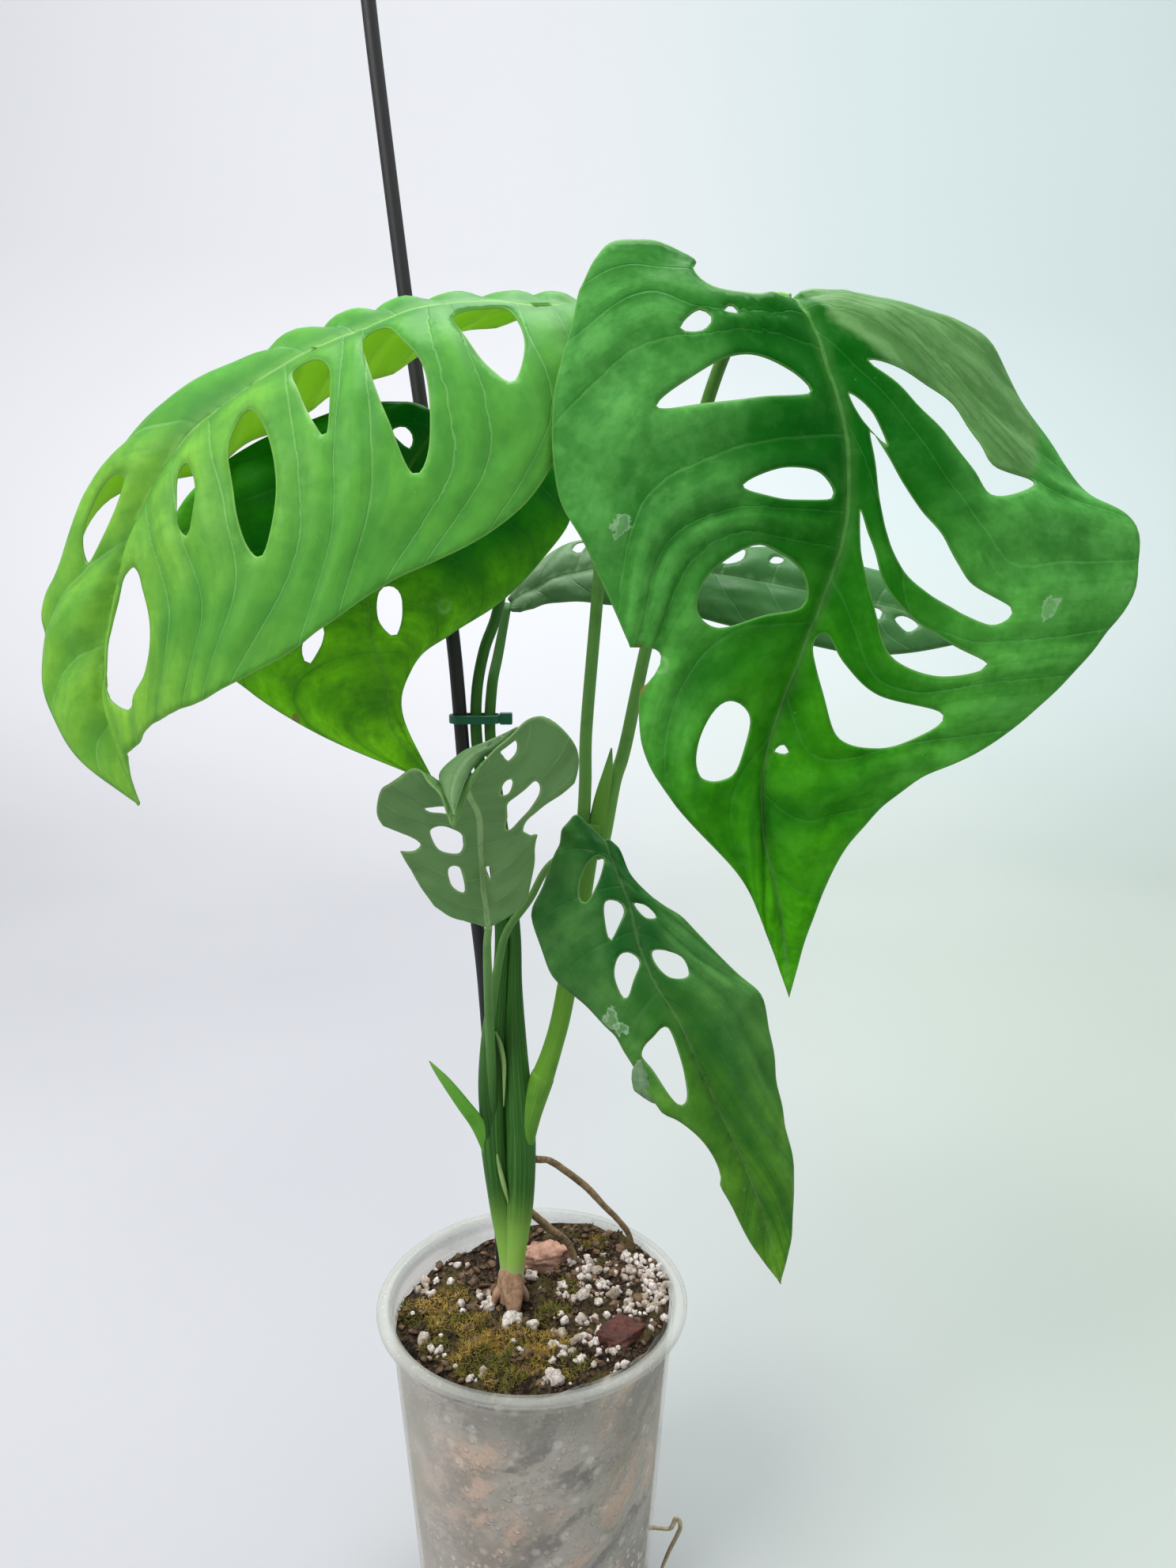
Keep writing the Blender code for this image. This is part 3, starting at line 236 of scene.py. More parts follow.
def placed(piece: bpy.types.Object, slot: str, *nodes: str) -> None:
    """Rides a piece on the root body and reports it.

    Args:
        piece: The piece.
        slot: A material slot of the record; not used.
        nodes: The nodes that it stands for.
    """
    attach(piece, BODY)
    if nodes:
        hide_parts(*nodes)
    faces = len(piece.data.polygons)
    log.info("%s: %d faces, stands for %s", piece.name, faces, ", ".join(nodes) or "no node")


class Heap:
    """Many small shapes in one mesh, made a batch at a time."""

    def __init__(self, batch: int = 30) -> None:
        """Starts an empty heap.

        Args:
            batch: How many shapes are made before they move to the full mesh.
        """
        self.full = bmesh.new()
        self.fresh = bmesh.new()
        self.batch = batch
        self.count = 0

    def part(self) -> bmesh.types.BMesh:
        """The mesh that the next shape is made in.

        Returns:
            A mesh that holds the shapes of this batch.
        """
        if self.count == self.batch:
            self.settle()
        self.count += 1
        return self.fresh

    def settle(self) -> None:
        """Moves the batch into the full mesh."""
        mesh = bpy.data.meshes.new("batch")
        bmesh.ops.recalc_face_normals(self.fresh, faces=self.fresh.faces[:])
        self.fresh.to_mesh(mesh)
        self.full.from_mesh(mesh)
        self.fresh.clear()
        self.count = 0
        bpy.data.meshes.remove(mesh)

    def whole(self) -> bmesh.types.BMesh:
        """The mesh of all the shapes.

        Returns:
            The full mesh, which the caller frees.
        """
        self.settle()
        self.fresh.free()
        return self.full


@dataclass(frozen=True)
class Sweep:
    """A round stalk through points (x, y, z, radius), with its length and angle kept for the finish."""

    path: Path
    sides: int = 16
    fine: int = 8
    groove: float = 0.0
    groove_at: float = 90.0
    flat: float = 1.0
    rough: float = 0.0

    def ring(self, t: float, places: list[Vector], radii: list[float], turn: Matrix) -> Matrix:
        """The matrix that sets the unit ring at t.

        Args:
            t: The place on the path.
            places: The path's points.
            radii: The path's radii.
            turn: The rotation that faces the ring along the path.

        Returns:
            The ring's matrix.
        """
        size = spline(radii, t)
        scale = Matrix.Diagonal((size, size * self.flat, size, 1.0))
        return Matrix.Translation(spline(places, t)) @ turn @ scale

    def mesh(self) -> bmesh.types.BMesh:
        """The stalk's mesh: one ring extruded along the path, closed and facing out.

        Returns:
            The mesh, in millimetres.
        """
        noise.seed_set(ROUGH_SEED)
        bm = bmesh.new()
        along = bm.verts.layers.float.new("along")
        around = bm.verts.layers.float.new("around")
        places = [Vector(point[:3]) for point in self.path]
        radii = [float(point[3]) for point in self.path]
        steps = self.fine * (len(places) - 1)
        ring = bmesh.ops.create_circle(bm, segments=self.sides, radius=1.0)["verts"]
        for vert in ring:
            angle = math.atan2(vert.co.y, vert.co.x)
            off = math.remainder(angle - math.radians(self.groove_at), math.tau)
            vert.co *= 1.0 - self.groove * math.exp(-((off / 0.55) ** 2))
            vert[around] = math.degrees(off)
        ahead = (spline(places, 0.02) - places[0]).normalized()
        turn = Vector((0, 0, 1)).rotation_difference(ahead).to_matrix().to_4x4()
        matrix = self.ring(0.0, places, radii, turn)
        bmesh.ops.transform(bm, matrix=matrix, verts=ring)
        edges = edges_of(ring)
        first = bmesh.ops.contextual_create(bm, geom=edges)["faces"]
        for step in range(1, steps + 1):
            t = step / self.fine
            way = (spline(places, t) - spline(places, t - 1 / self.fine)).normalized()
            turn = ahead.rotation_difference(way).to_matrix().to_4x4() @ turn
            ahead = way
            grown = bmesh.ops.extrude_edge_only(bm, edges=edges)["geom"]
            verts = only(grown, bmesh.types.BMVert)
            fresh = self.ring(t, places, radii, turn)
            bmesh.ops.transform(bm, matrix=fresh @ matrix.inverted(), verts=verts)
            for vert in verts:
                vert[along] = step / steps
                if self.rough:
                    vert.co += noise.noise_vector(vert.co * 0.9) * self.rough
            edges = [edge for edge in only(grown, bmesh.types.BMEdge) if set(edge.verts) <= set(verts)]
            matrix = fresh
        last = bmesh.ops.contextual_create(bm, geom=edges)["faces"]
        for cap, radius in ((first, radii[0]), (last, radii[-1])):
            bmesh.ops.inset_individual(bm, faces=cap, thickness=0.25 * radius)
        bmesh.ops.recalc_face_normals(bm, faces=bm.faces[:])
        return bm


# Shaders


class Value:
    """A shader socket that takes part in Python sums."""

    def __init__(self, shader: "Shader", socket: bpy.types.NodeSocket) -> None:
        """Wraps a socket of a shader's tree."""
        self.shader = shader
        self.socket = socket

    def output(self, name: int | str) -> "Value":
        """Another output of the same node."""
        return Value(self.shader, self.socket.node.outputs[name])

    def _sum(self, operation: str, *terms: "Value | float") -> "Value":
        """A Math node on values.

        Args:
            operation: The node's operation.
            terms: Its inputs, in order.

        Returns:
            The node's output.
        """
        sockets = {index: term for index, term in enumerate(terms)}
        return self.shader.add("ShaderNodeMath", {"operation": operation}, sockets)

    def __add__(self, other: "Value | float") -> "Value":
        """self + other."""
        return self._sum("ADD", self, other)

    __radd__ = __add__

    def __sub__(self, other: "Value | float") -> "Value":
        """self - other."""
        return self._sum("SUBTRACT", self, other)

    def __rsub__(self, other: "Value | float") -> "Value":
        """other - self."""
        return self._sum("SUBTRACT", other, self)

    def __mul__(self, other: "Value | float") -> "Value":
        """self * other."""
        return self._sum("MULTIPLY", self, other)

    __rmul__ = __mul__

    def __truediv__(self, other: "Value | float") -> "Value":
        """self / other."""
        return self._sum("DIVIDE", self, other)

    def __abs__(self) -> "Value":
        """The value without its sign."""
        return self._sum("ABSOLUTE", self)

    def fraction(self) -> "Value":
        """The part after the decimal point."""
        return self._sum("FRACT", self)

    def over(self, limit: "Value | float") -> "Value":
        """1 where the value is over the limit, else 0."""
        return self._sum("GREATER_THAN", self, limit)

    def step(self, low: "Value | float", high: "Value | float") -> "Value":
        """A smooth step from 0 where the value is low to 1 where it is high."""
        sockets = {"Value": self, "From Min": low, "From Max": high}
        return self.shader.add("ShaderNodeMapRange", {"interpolation_type": "SMOOTHSTEP"}, sockets)


class Shader:
    """The node tree of one material."""

    def __init__(self, name: str) -> None:
        """Starts an empty tree of this name.

        Args:
            name: The material's name.
        """
        self.material = bpy.data.materials.new(name)
        self.material.use_nodes = True
        self.tree = self.material.node_tree
        self.tree.nodes.clear()

    def add(
        self, kind: str, settings: dict | None = None, sockets: dict | None = None, out: int | str | None = 0
    ) -> Value | None:
        """Adds a node.

        Args:
            kind: The node's type.
            settings: Its properties, set first.
            sockets: Values or links for its inputs, by name or index.
            out: The wanted output, or None for a node without any.

        Returns:
            That output.
        """
        node = self.tree.nodes.new(kind)
        for key, value in (settings or {}).items():
            setattr(node, key, value)
        for key, value in (sockets or {}).items():
            if isinstance(value, Value):
                self.tree.links.new(value.socket, node.inputs[key])
            elif isinstance(value, tuple) and node.inputs[key].type == "RGBA":
                node.inputs[key].default_value = (*value, 1.0)
            else:
                node.inputs[key].default_value = value
        return None if out is None else Value(self, node.outputs[out])

    def attribute(self, name: str) -> list[Value]:
        """The three parts of a vector kept in the mesh."""
        return self.split(self.add("ShaderNodeAttribute", {"attribute_name": name}, out="Vector"))

    def number(self, name: str) -> Value:
        """A number kept in the mesh."""
        return self.add("ShaderNodeAttribute", {"attribute_name": name}, out="Fac")

    def split(self, vector: Value) -> list[Value]:
        """A vector's x, y and z."""
        first = self.add("ShaderNodeSeparateXYZ", sockets={0: vector})
        return [first.output(axis) for axis in range(3)]

    def joined(self, x: Value | float, y: Value | float, z: Value | float = 0.0) -> Value:
        """A vector of three values."""
        return self.add("ShaderNodeCombineXYZ", sockets={0: x, 1: y, 2: z})

    def place(self) -> Value:
        """The object's own coordinates, in metres."""
        return self.add("ShaderNodeTexCoord", out="Object")

    def stretched(self, scale: Triple) -> Value:
        """The object's own coordinates, scaled."""
        return self.add("ShaderNodeMapping", sockets={"Vector": self.place(), "Scale": scale})

    def noise(
        self, scale: float, detail: float = 3.0, at: Value | None = None, roughness: float = 0.55
    ) -> Value:
        """A soft noise from 0 to 1.

        Args:
            scale: Waves in one unit of the coordinates.
            detail: Octaves.
            at: The coordinates, or None for the object's own.
            roughness: How strong the fine octaves are.

        Returns:
            The noise.
        """
        sockets = {"Vector": at or self.place(), "Scale": scale, "Detail": detail, "Roughness": roughness}
        return self.add("ShaderNodeTexNoise", sockets=sockets)

    def dots(self, scale: float) -> Value:
        """The distance to the nearest of some scattered dots, this many to a unit of the coordinates."""
        sockets = {"Vector": self.place(), "Scale": scale}
        return self.add("ShaderNodeTexVoronoi", sockets=sockets, out="Distance")

    def distance(self, at: Value, place: Triple) -> Value:
        """The distance between a vector and a fixed place."""
        return self.add("ShaderNodeVectorMath", {"operation": "DISTANCE"}, {0: at, 1: place}, "Value")

    def layered(self, colour: Value | Triple, *layers: tuple[Value | float, Value | Triple]) -> Value:
        """A colour with others laid over it in turn.

        Args:
            colour: The lowest colour.
            layers: How much there is of each other colour, and that colour.

        Returns:
            The mixed colour.
        """
        for part, over in layers:
            colour = self.add("ShaderNodeMix", {"data_type": "RGBA"}, {0: part, 6: colour, 7: over}, out=2)
        return colour

    def bump(self, height: Value, depth: float, strength: float = 1.0) -> Value:
        """A normal from a height of 0 to 1 that stands for this depth in metres."""
        sockets = {"Height": height, "Distance": depth, "Strength": strength}
        return self.add("ShaderNodeBump", sockets=sockets)

    def principled(self, **sockets: Value | float | Triple) -> Value:
        """A Principled shader. Keywords are its sockets with underscores for spaces."""
        named = {key.replace("_", " "): value for key, value in sockets.items()}
        return self.add("ShaderNodeBsdfPrincipled", sockets=named)

    def done(self, surface: Value) -> bpy.types.Material:
        """Links the surface to the output and gives the material."""
        self.add("ShaderNodeOutputMaterial", sockets={"Surface": surface}, out=None)
        return self.material

    def coated(self, **sockets: Value | float | Triple) -> bpy.types.Material:
        """The material of one Principled shader, with its sockets as in principled."""
        return self.done(self.principled(**sockets))


# Finishes


@dataclass(frozen=True)
class LeafFinish:
    """The colours and shine of one leaf's two sides."""

    deep: Triple
    bright: Triple
    # tip: a yellower green, partly the leaf's own colour and partly painted light, laid towards the tip and
    # along the margin
    tip: Triple
    vein: Triple
    rib: Triple
    under: Triple
    pale: Triple = (0.17, 0.32, 0.10)
    glow: Triple = (0.22, 0.50, 0.05)
    through: float = 0.18
    # where the partly painted tip light begins
    tip_from: float = 0.75
    # how much painted light the margin gets in the tip colour
    margin: float = 0.35
    # how strong the pale midrib and the painted highlight beside it are
    rib_part: float = 0.25
    patches: float = 15.0
    # the width of the painted shade along the middle of the blade
    painted_shade_width: float = 16.0
    stains: float = 0.16
    length: float = 200.0
    shine: float = 0.44
    gloss: float = 0.12
    # foot, foot_to and foot_part: the painted shade towards the base, deep unless a foot colour is given
    foot: Triple | None = None
    foot_to: float = 0.10
    foot_part: float = 0.40
    scars: tuple[Triple, ...] = ()
    scratches: tuple[Triple, ...] = ()

    def lines(self, shader: Shader) -> dict[str, Value]:
        """Reads the blade's places.

        Args:
            shader: The material's shader.

        Returns:
            The places along and across and the distance from the edge, in millimetres; the distances from a
            side vein and from a finer one, in vein spacings; soft streaks beside the veins; and how pale the
            fold is.
        """
        along, across, edge = shader.attribute("blade")
        left, right, fold = shader.attribute("veins")
        is_right = across.over(0.0)
        phase = left * (1 - is_right) + right * is_right
        return {
            "along": along,
            "across": across,
            "edge": edge,
            "off": abs((phase + 0.5).fraction() - 0.5),
            "fine_off": abs((phase * 4 + 0.5).fraction() - 0.5),
            "brush": shader.noise(1.0, 4.0, shader.joined(phase * 3.6, abs(across) * 0.06, is_right * 7.0)),
            "fold": fold,
        }

    def marked(self, shader: Shader, colour: Value, along: Value, across: Value) -> Value:
        """Adds the brown scars and the pale scratches to a colour.

        Args:
            shader: The material's shader.
            colour: The blade's colour.
            along: The place along the midrib, in millimetres.
            across: The place across, in millimetres.

        Returns:
            The colour with them.
        """
        flat = shader.joined(along, across)
        ragged = shader.noise(0.35, 3.0, flat)
        kinds = (
            (self.scratches, (0.42, 0.62, 0.40), 0.55, 0.65),
            (self.scars, (0.24, 0.17, 0.05), 0.85, 0.0),
        )
        for spots, mark, strength, hollow in kinds:
            for x, y, size in spots:
                reach = shader.distance(flat, (x, y, 0.0)) + (ragged - 0.5) * 2.4 * size
                inside = 1 - reach.step(0.80 * size, size)
                core = 1 - reach.step(0.50 * size, 0.80 * size)
                colour = shader.layered(colour, ((inside - core * hollow) * strength, mark))
        return colour

    def upper(self, name: str) -> bpy.types.Material:
        """The upper side, with fine sunken veins: painted shade along the middle and painted light towards
        the margin.

        Args:
            name: The material's name.

        Returns:
            The material.
        """
        shader = Shader(name)
        place = self.lines(shader)
        along, across, edge, off, brush = (place[key] for key in ("along", "across", "edge", "off", "brush"))
        broad = shader.noise(self.patches, 3.0)
        middle = shader.noise(62.0, 4.0, roughness=0.6)
        fine = shader.noise(420.0, 4.0, roughness=0.65)
        far = along / self.length + broad * 0.16 - 0.08
        # painted shade: the middle of the blade (inner) is painted deep; painted light: broad bright patches
        # (lit) towards the margin
        inner = 1 - (abs(across) / self.painted_shade_width).step(0.30, 1.0)
        outer = 1 - inner * 0.92
        lit = ((broad * 0.75 + middle * 0.25).step(0.38, 0.62) * 0.62 + 0.38) * outer
        side = 1 - off.step(0.004, 0.024)
        width = 0.95 - 0.6 * (along / self.length)
        rib = 1 - (abs(across) / width).step(0.5, 1.2)
        beside = 1 - (abs(across) / (width * 5.0)).step(0.1, 1.0)
        mottle = shader.noise(150.0, 4.0, roughness=0.6)
        ridges = brush.step(0.42, 0.56) * place["fold"]
        drop = shader.dots(34.0)
        stain = drop.step(0.05, 0.075) * (1 - drop.step(0.085, 0.115)) + (1 - drop.step(0.03, 0.10)) * 0.3
        specks = (1 - shader.dots(210.0).step(0.03, 0.11)) * fine.step(0.5, 0.6)
        colour = shader.layered(
            self.deep,
            (lit, self.bright),
            # painted highlight: brighter on the swells between the side veins, away from the middle
            ((off * 2).step(0.1, 1.0) * 0.30 * outer, self.bright),
            # painted light: brighter towards the margin, with the tip colour laid along it as light coming
            # through the thin edge
            ((1 - edge.step(1.0, 14.0)) * 0.40 * (1 - inner), self.bright),
            ((1 - edge.step(2.0, 28.0)) * far.step(0.20, 0.70) * self.margin, self.tip),
            # yellower towards the tip: partly the leaf's own colour, partly painted light coming through the
            # blade
            (far.step(self.tip_from, 1.0), self.tip),
            # painted shade: darker patches stand for the shade in the blade's wrinkles
            (middle.step(0.42, 0.66) * 0.36, self.deep),
            (brush.step(0.45, 0.70) * 0.30, self.deep),
            ((1 - brush.step(0.30, 0.46)) * 0.25 * outer, self.bright),
            # painted shade: the blade darkens towards its base; a finish with its own foot colour is painted
            # that colour there instead
            ((1 - far.step(-0.08, self.foot_to)) * self.foot_part, self.foot or self.deep),
            # painted shade: a broad dark band along each side vein, for the shade in its groove
            ((1 - off.step(0.02, 0.34)) * 0.32, self.deep),
            (side * (outer * 0.40 + 0.12), self.vein),
            ((1 - place["fine_off"].step(0.02, 0.12)) * 0.09, self.deep),
            (rib * self.rib_part, self.rib),
            # painted highlight: a pale band beside the midrib, for the light on its ridge
            (beside * self.rib_part * 0.45, self.rib),
            (mottle.step(0.46, 0.62) * 0.20, self.deep),
            ((1 - mottle.step(0.36, 0.50)) * 0.22 * (outer * 0.8 + 0.2), self.bright),
            (place["fold"], self.pale),
            (ridges * 0.55, self.under),
            ((1 - edge.step(0.15, 0.65)) * 0.55, self.rib),
            (stain * broad.step(0.52, 0.58) * self.stains, (0.55, 0.72, 0.50)),
            (specks * 0.14, (0.60, 0.74, 0.40)),
        )
        colour = self.marked(shader, colour, along, across)
        colour = shader.layered(colour, ((fine - 0.5) * 0.5 + 0.06, self.deep))
        height = fine * 0.22 + middle * 0.9 + off.step(0.0, 0.05) * 0.35 + (1 - rib) * 0.5
        rough = fine * 0.14 + broad * 0.12 + (self.shine - 0.12)
        skin = shader.principled(
            Base_Color=colour,
            Roughness=rough,
            Normal=shader.bump(height, 0.0005, 0.7),
            Specular_IOR_Level=self.gloss,
        )
        return shader.done(self.lit(shader, skin))

    def lower(self, name: str) -> bpy.types.Material:
        """The under side, paler and duller, with its midrib and veins raised.

        Args:
            name: The material's name.

        Returns:
            The material.
        """
        shader = Shader(name)
        place = self.lines(shader)
        along, across, edge, off, brush = (place[key] for key in ("along", "across", "edge", "off", "brush"))
        broad = shader.noise(22.0, 3.0)
        fine = shader.noise(320.0, 4.0)
        side = 1 - off.step(0.008, 0.036)
        rib = 1 - (abs(across) / (1.7 - 1.0 * (along / self.length))).step(0.6, 1.2)
        colour = shader.layered(
            self.under,
            (broad.step(0.35, 0.65) * 0.25, self.bright),
            ((1 - (off * 2).step(0.1, 0.9)) * 0.12, self.deep),
            (brush.step(0.42, 0.66) * 0.16, self.deep),
            (side * 0.30, self.rib),
            (rib * 0.85, self.rib),
            ((1 - edge.step(0.15, 0.7)) * 0.5, self.rib),
        )
        colour = self.marked(shader, colour, along, across)
        height = fine * 0.3 + brush * 0.5 + side * 0.8 + rib
        skin = shader.principled(
            Base_Color=colour,
            Roughness=fine * 0.14 + 0.55,
            Normal=shader.bump(height, 0.0004, 0.7),
            Specular_IOR_Level=0.10,
        )
        return shader.done(self.lit(shader, skin))

    def lit(self, shader: Shader, skin: Value) -> Value:
        """The skin with the light that comes through the blade."""
        through = shader.add("ShaderNodeBsdfTranslucent", sockets={"Color": self.glow})
        return shader.add("ShaderNodeMixShader", sockets={0: self.through, 1: skin, 2: through})


@dataclass(frozen=True)
class StalkFinish:
    """The colours of a petiole or sheath, from its foot to its top."""

    foot: Triple
    middle: Triple
    top: Triple
    streak: float = 0.5
    crown: bool = False
    lit_side: Triple = (0.16, 0.36, 0.05)

    def material(self, name: str) -> bpy.types.Material:
        """The stalk's material, with a bright foot and a brown crown where it grows out of the mix.

        Args:
            name: The material's name.

        Returns:
            The material.
        """
        shader = Shader(name)
        along = shader.number("along")
        around = shader.number("around")
        blotch = shader.noise(75.0, 4.0)
        streaks = shader.noise(1.0, 4.0, shader.joined(around * 0.11, along * 6.0))
        colour = shader.layered(
            self.foot,
            (along.step(0.0, 0.45), self.middle),
            (along.step(0.5, 1.0), self.top),
            (streaks.step(0.40, 0.75) * self.streak, self.lit_side),
            (blotch.step(0.50, 0.72) * 0.35, (0.02, 0.10, 0.015)),
        )
        if self.crown:
            _, _, height = shader.split(shader.place())
            height = height + (blotch - 0.5) * 0.010
            colour = shader.layered(
                colour,
                (1 - height.step(0.150, 0.186), (0.25, 0.46, 0.08)),
                (1 - height.step(0.143, 0.152), (0.36, 0.42, 0.20)),
                (1 - height.step(0.138, 0.1435), (0.36, 0.21, 0.13)),
            )
        fine = shader.noise(900.0, 3.0)
        return shader.coated(
            Base_Color=colour,
            Roughness=blotch * 0.2 + 0.42,
            Normal=shader.bump(fine * 0.3 + streaks * 0.7, 0.0003, 0.6),
            Specular_IOR_Level=0.18,
            Subsurface_Weight=0.10,
            Subsurface_Radius=(0.001, 0.002, 0.0005),
        )


@dataclass(frozen=True)
class WoodyFinish:
    """A root's or bark's colours and relief."""

    dark: Triple
    pale: Triple
    grain: float = 600.0
    depth: float = 0.0005
    roughness: float = 0.75
    stretched: Triple = (1.0, 1.0, 1.0)

    def material(self, name: str) -> bpy.types.Material:
        """The material.

        Args:
            name: The material's name.

        Returns:
            The material.
        """
        shader = Shader(name)
        at = shader.stretched(self.stretched)
        grain = shader.noise(self.grain, 6.0, at, 0.65)
        patches = shader.noise(self.grain * 0.22, 3.0, at)
        colour = shader.layered(self.dark, ((grain * 0.6 + patches * 0.5).step(0.35, 0.75), self.pale))
        damp = patches.step(0.4, 0.7)
        return shader.coated(
            Base_Color=colour,
            Roughness=self.roughness + 0.15 * damp,
            Normal=shader.bump(grain, self.depth),
            Specular_IOR_Level=0.3,
        )


@dataclass(frozen=True)
class PotFinish:
    """Frosted clear plastic, dusty and damp in places."""

    clear: float = 0.06
    milky: Triple = (0.78, 0.72, 0.66)
    damp: Triple = (0.42, 0.42, 0.34)
    rim: Triple = (0.44, 0.45, 0.41)

    def material(self, name: str) -> bpy.types.Material:
        """The material, denser at the rolled lip.

        Args:
            name: The material's name.

        Returns:
            The material.
        """
        shader = Shader(name)
        x, _, height = shader.split(shader.place())
        lip = height.step(0.1335, 0.1355)
        mist = shader.noise(34.0, 5.0, roughness=0.6)
        scuffs = shader.noise(380.0, 5.0, roughness=0.65)
        streaks = shader.noise(60.0, 4.0, shader.stretched((1.0, 1.0, 0.15)))
        drops = 1 - shader.dots(330.0).step(0.08, 0.28)
        soiled = (1 - shader.dots(150.0).step(0.03, 0.20)) * mist.step(0.42, 0.56)
        colour = shader.layered(
            self.milky,
            (mist.step(0.40, 0.62) * 0.7, self.damp),
            (lip, self.rim),
            (soiled * 0.6 * (1 - lip * 0.7), (0.10, 0.070, 0.040)),
        )
        left = 1 - x.step(-0.052, -0.012)
        alpha = self.clear + 0.12 * mist.step(0.36, 0.66) + 0.08 * streaks + 0.12 * drops + 0.26 * soiled
        return shader.coated(
            Base_Color=colour,
            Roughness=scuffs * 0.3 + 0.2,
            Alpha=alpha + 0.26 * left + 0.12 * x.step(0.030, 0.058) + 0.10 * lip,
            Normal=shader.bump(scuffs * 0.4 + drops * 0.3, 0.0002, 0.4),
            Specular_IOR_Level=0.4,
        )


@dataclass(frozen=True)
class MixFinish:
    """The potting mix: brown crumbs on top, and what presses against the clear wall at its side."""

    soil: Triple = (0.010, 0.007, 0.005)
    brown: Triple = (0.10, 0.062, 0.034)
    tan: Triple = (0.50, 0.33, 0.22)
    grey: Triple = (0.30, 0.28, 0.24)
    olive: Triple = (0.12, 0.10, 0.03)
    white: Triple = (0.80, 0.76, 0.70)

    def top(self, name: str) -> bpy.types.Material:
        """The crumbly surface under the loose grains.

        Args:
            name: The material's name.

        Returns:
            The material.
        """
        shader = Shader(name)
        crumbs = shader.noise(520.0, 6.0, roughness=0.7)
        patches = shader.noise(70.0, 4.0)
        colour = shader.layered(
            self.soil,
            (crumbs.step(0.42, 0.66), self.brown),
            (patches.step(0.48, 0.60) * 0.5, self.olive),
        )
        return shader.coated(
            Base_Color=colour, Roughness=0.92, Normal=shader.bump(crumbs, 0.0020), Specular_IOR_Level=0.15
        )

    def side(self, name: str) -> bpy.types.Material:
        """The face behind the clear wall: soft grey, brown and tan places, perlite near the bottom.

        Args:
            name: The material's name.

        Returns:
            The material.
        """
        shader = Shader(name)
        x, y, height = shader.split(shader.place())
        bent = shader.noise(30.0, 3.0)
        rising, across = x * 0.8 + height * 0.6, height * 0.8 - x * 0.6
        slanted = shader.joined(rising * 0.6 + bent * 0.03, y + bent * 0.03, across * 1.25 + bent * 0.04)
        broad = shader.noise(24.0, 3.0, slanted)
        middle = shader.noise(44.0, 5.0, slanted, 0.6)
        small = shader.noise(130.0, 5.0, slanted, 0.65)
        fine = shader.noise(420.0, 6.0, roughness=0.7)
        band = height.step(0.112, 0.124) * broad.step(0.34, 0.50)
        low = 1 - height.step(0.030, 0.075)
        spots = 1 - shader.dots(250.0).step(0.20, 0.36)
        lumps = 1 - shader.dots(120.0).step(0.14, 0.30)
        amount = (low * 0.85 + 0.12) * broad.step(0.34, 0.50)
        colour = shader.layered(
            self.grey,
            (broad.step(0.42, 0.58), (0.17, 0.13, 0.085)),
            (middle.step(0.51, 0.60) * 0.9, self.tan),
            ((1 - middle.step(0.36, 0.45)) * 0.85, self.soil),
            (small.step(0.54, 0.66) * 0.45, (0.045, 0.04, 0.035)),
            ((1 - small.step(0.32, 0.44)) * 0.35, (0.52, 0.44, 0.34)),
            (fine.step(0.50, 0.64) * 0.28, (0.05, 0.04, 0.03)),
            (fine.step(0.62, 0.75) * 0.30, (0.62, 0.56, 0.48)),
            (band * 0.75, (0.055, 0.06, 0.05)),
            (low * broad.step(0.30, 0.46) * 0.7, (0.075, 0.085, 0.095)),
            (spots * amount + lumps * 0.3, self.white),
        )
        return shader.coated(
            Base_Color=colour, Roughness=0.8, Normal=shader.bump(spots * 0.6 + fine * 0.4, 0.0012)
        )

    def perlite(self, name: str) -> bpy.types.Material:
        """White foamed grains with pinkish grey hollows.

        Args:
            name: The material's name.

        Returns:
            The material.
        """
        shader = Shader(name)
        pores = shader.noise(900.0, 5.0, roughness=0.7)
        stain = shader.noise(140.0, 3.0)
        colour = shader.layered(
            (0.34, 0.28, 0.25),
            (pores.step(0.35, 0.60), (0.74, 0.68, 0.63)),
            (stain.step(0.44, 0.66) * 0.75, (0.24, 0.17, 0.095)),
        )
        return shader.coated(
            Base_Color=colour,
            Roughness=0.85,
            Normal=shader.bump(pores, 0.0008),
            Subsurface_Weight=0.15,
            Subsurface_Radius=(0.001, 0.001, 0.001),
        )

    def moss(self, name: str) -> bpy.types.Material:
        """Olive and yellow-green moss.

        Args:
            name: The material's name.

        Returns:
            The material.
        """
        shader = Shader(name)
        patches = shader.noise(70.0, 3.0)
        colour = shader.layered(
            (0.105, 0.105, 0.018),
            (patches.step(0.42, 0.62), (0.36, 0.24, 0.055)),
            (shader.noise(500.0).step(0.42, 0.7) * 0.6, (0.17, 0.13, 0.03)),
        )
        return shader.coated(Base_Color=colour, Roughness=0.8, Specular_IOR_Level=0.2)


@dataclass(frozen=True)
class CoatFinish:
    """A smooth plastic coat with faint scuffs."""

    colour: Triple
    worn: Triple
    roughness: float

    def material(self, name: str) -> bpy.types.Material:
        """The material.

        Args:
            name: The material's name.

        Returns:
            The material.
        """
        shader = Shader(name)
        scuffs = shader.noise(260.0, 5.0, roughness=0.65)
        colour = shader.layered(self.colour, (scuffs.step(0.55, 0.80) * 0.5, self.worn))
        return shader.coated(
            Base_Color=colour,
            Roughness=scuffs * 0.25 + self.roughness,
            Normal=shader.bump(scuffs, 0.0001, 0.5),
        )


# Leaves


@dataclass(frozen=True)
class Station:
    """A cut across a leaf: the midrib, both margins, and how far each half bulges to its upper side.

    At a tip the margins meet at the midrib, so only the midrib is given.
    """

    mid: Triple
    left: Triple | None = None
    right: Triple | None = None
    bulge: Place = (0.0, 0.0)


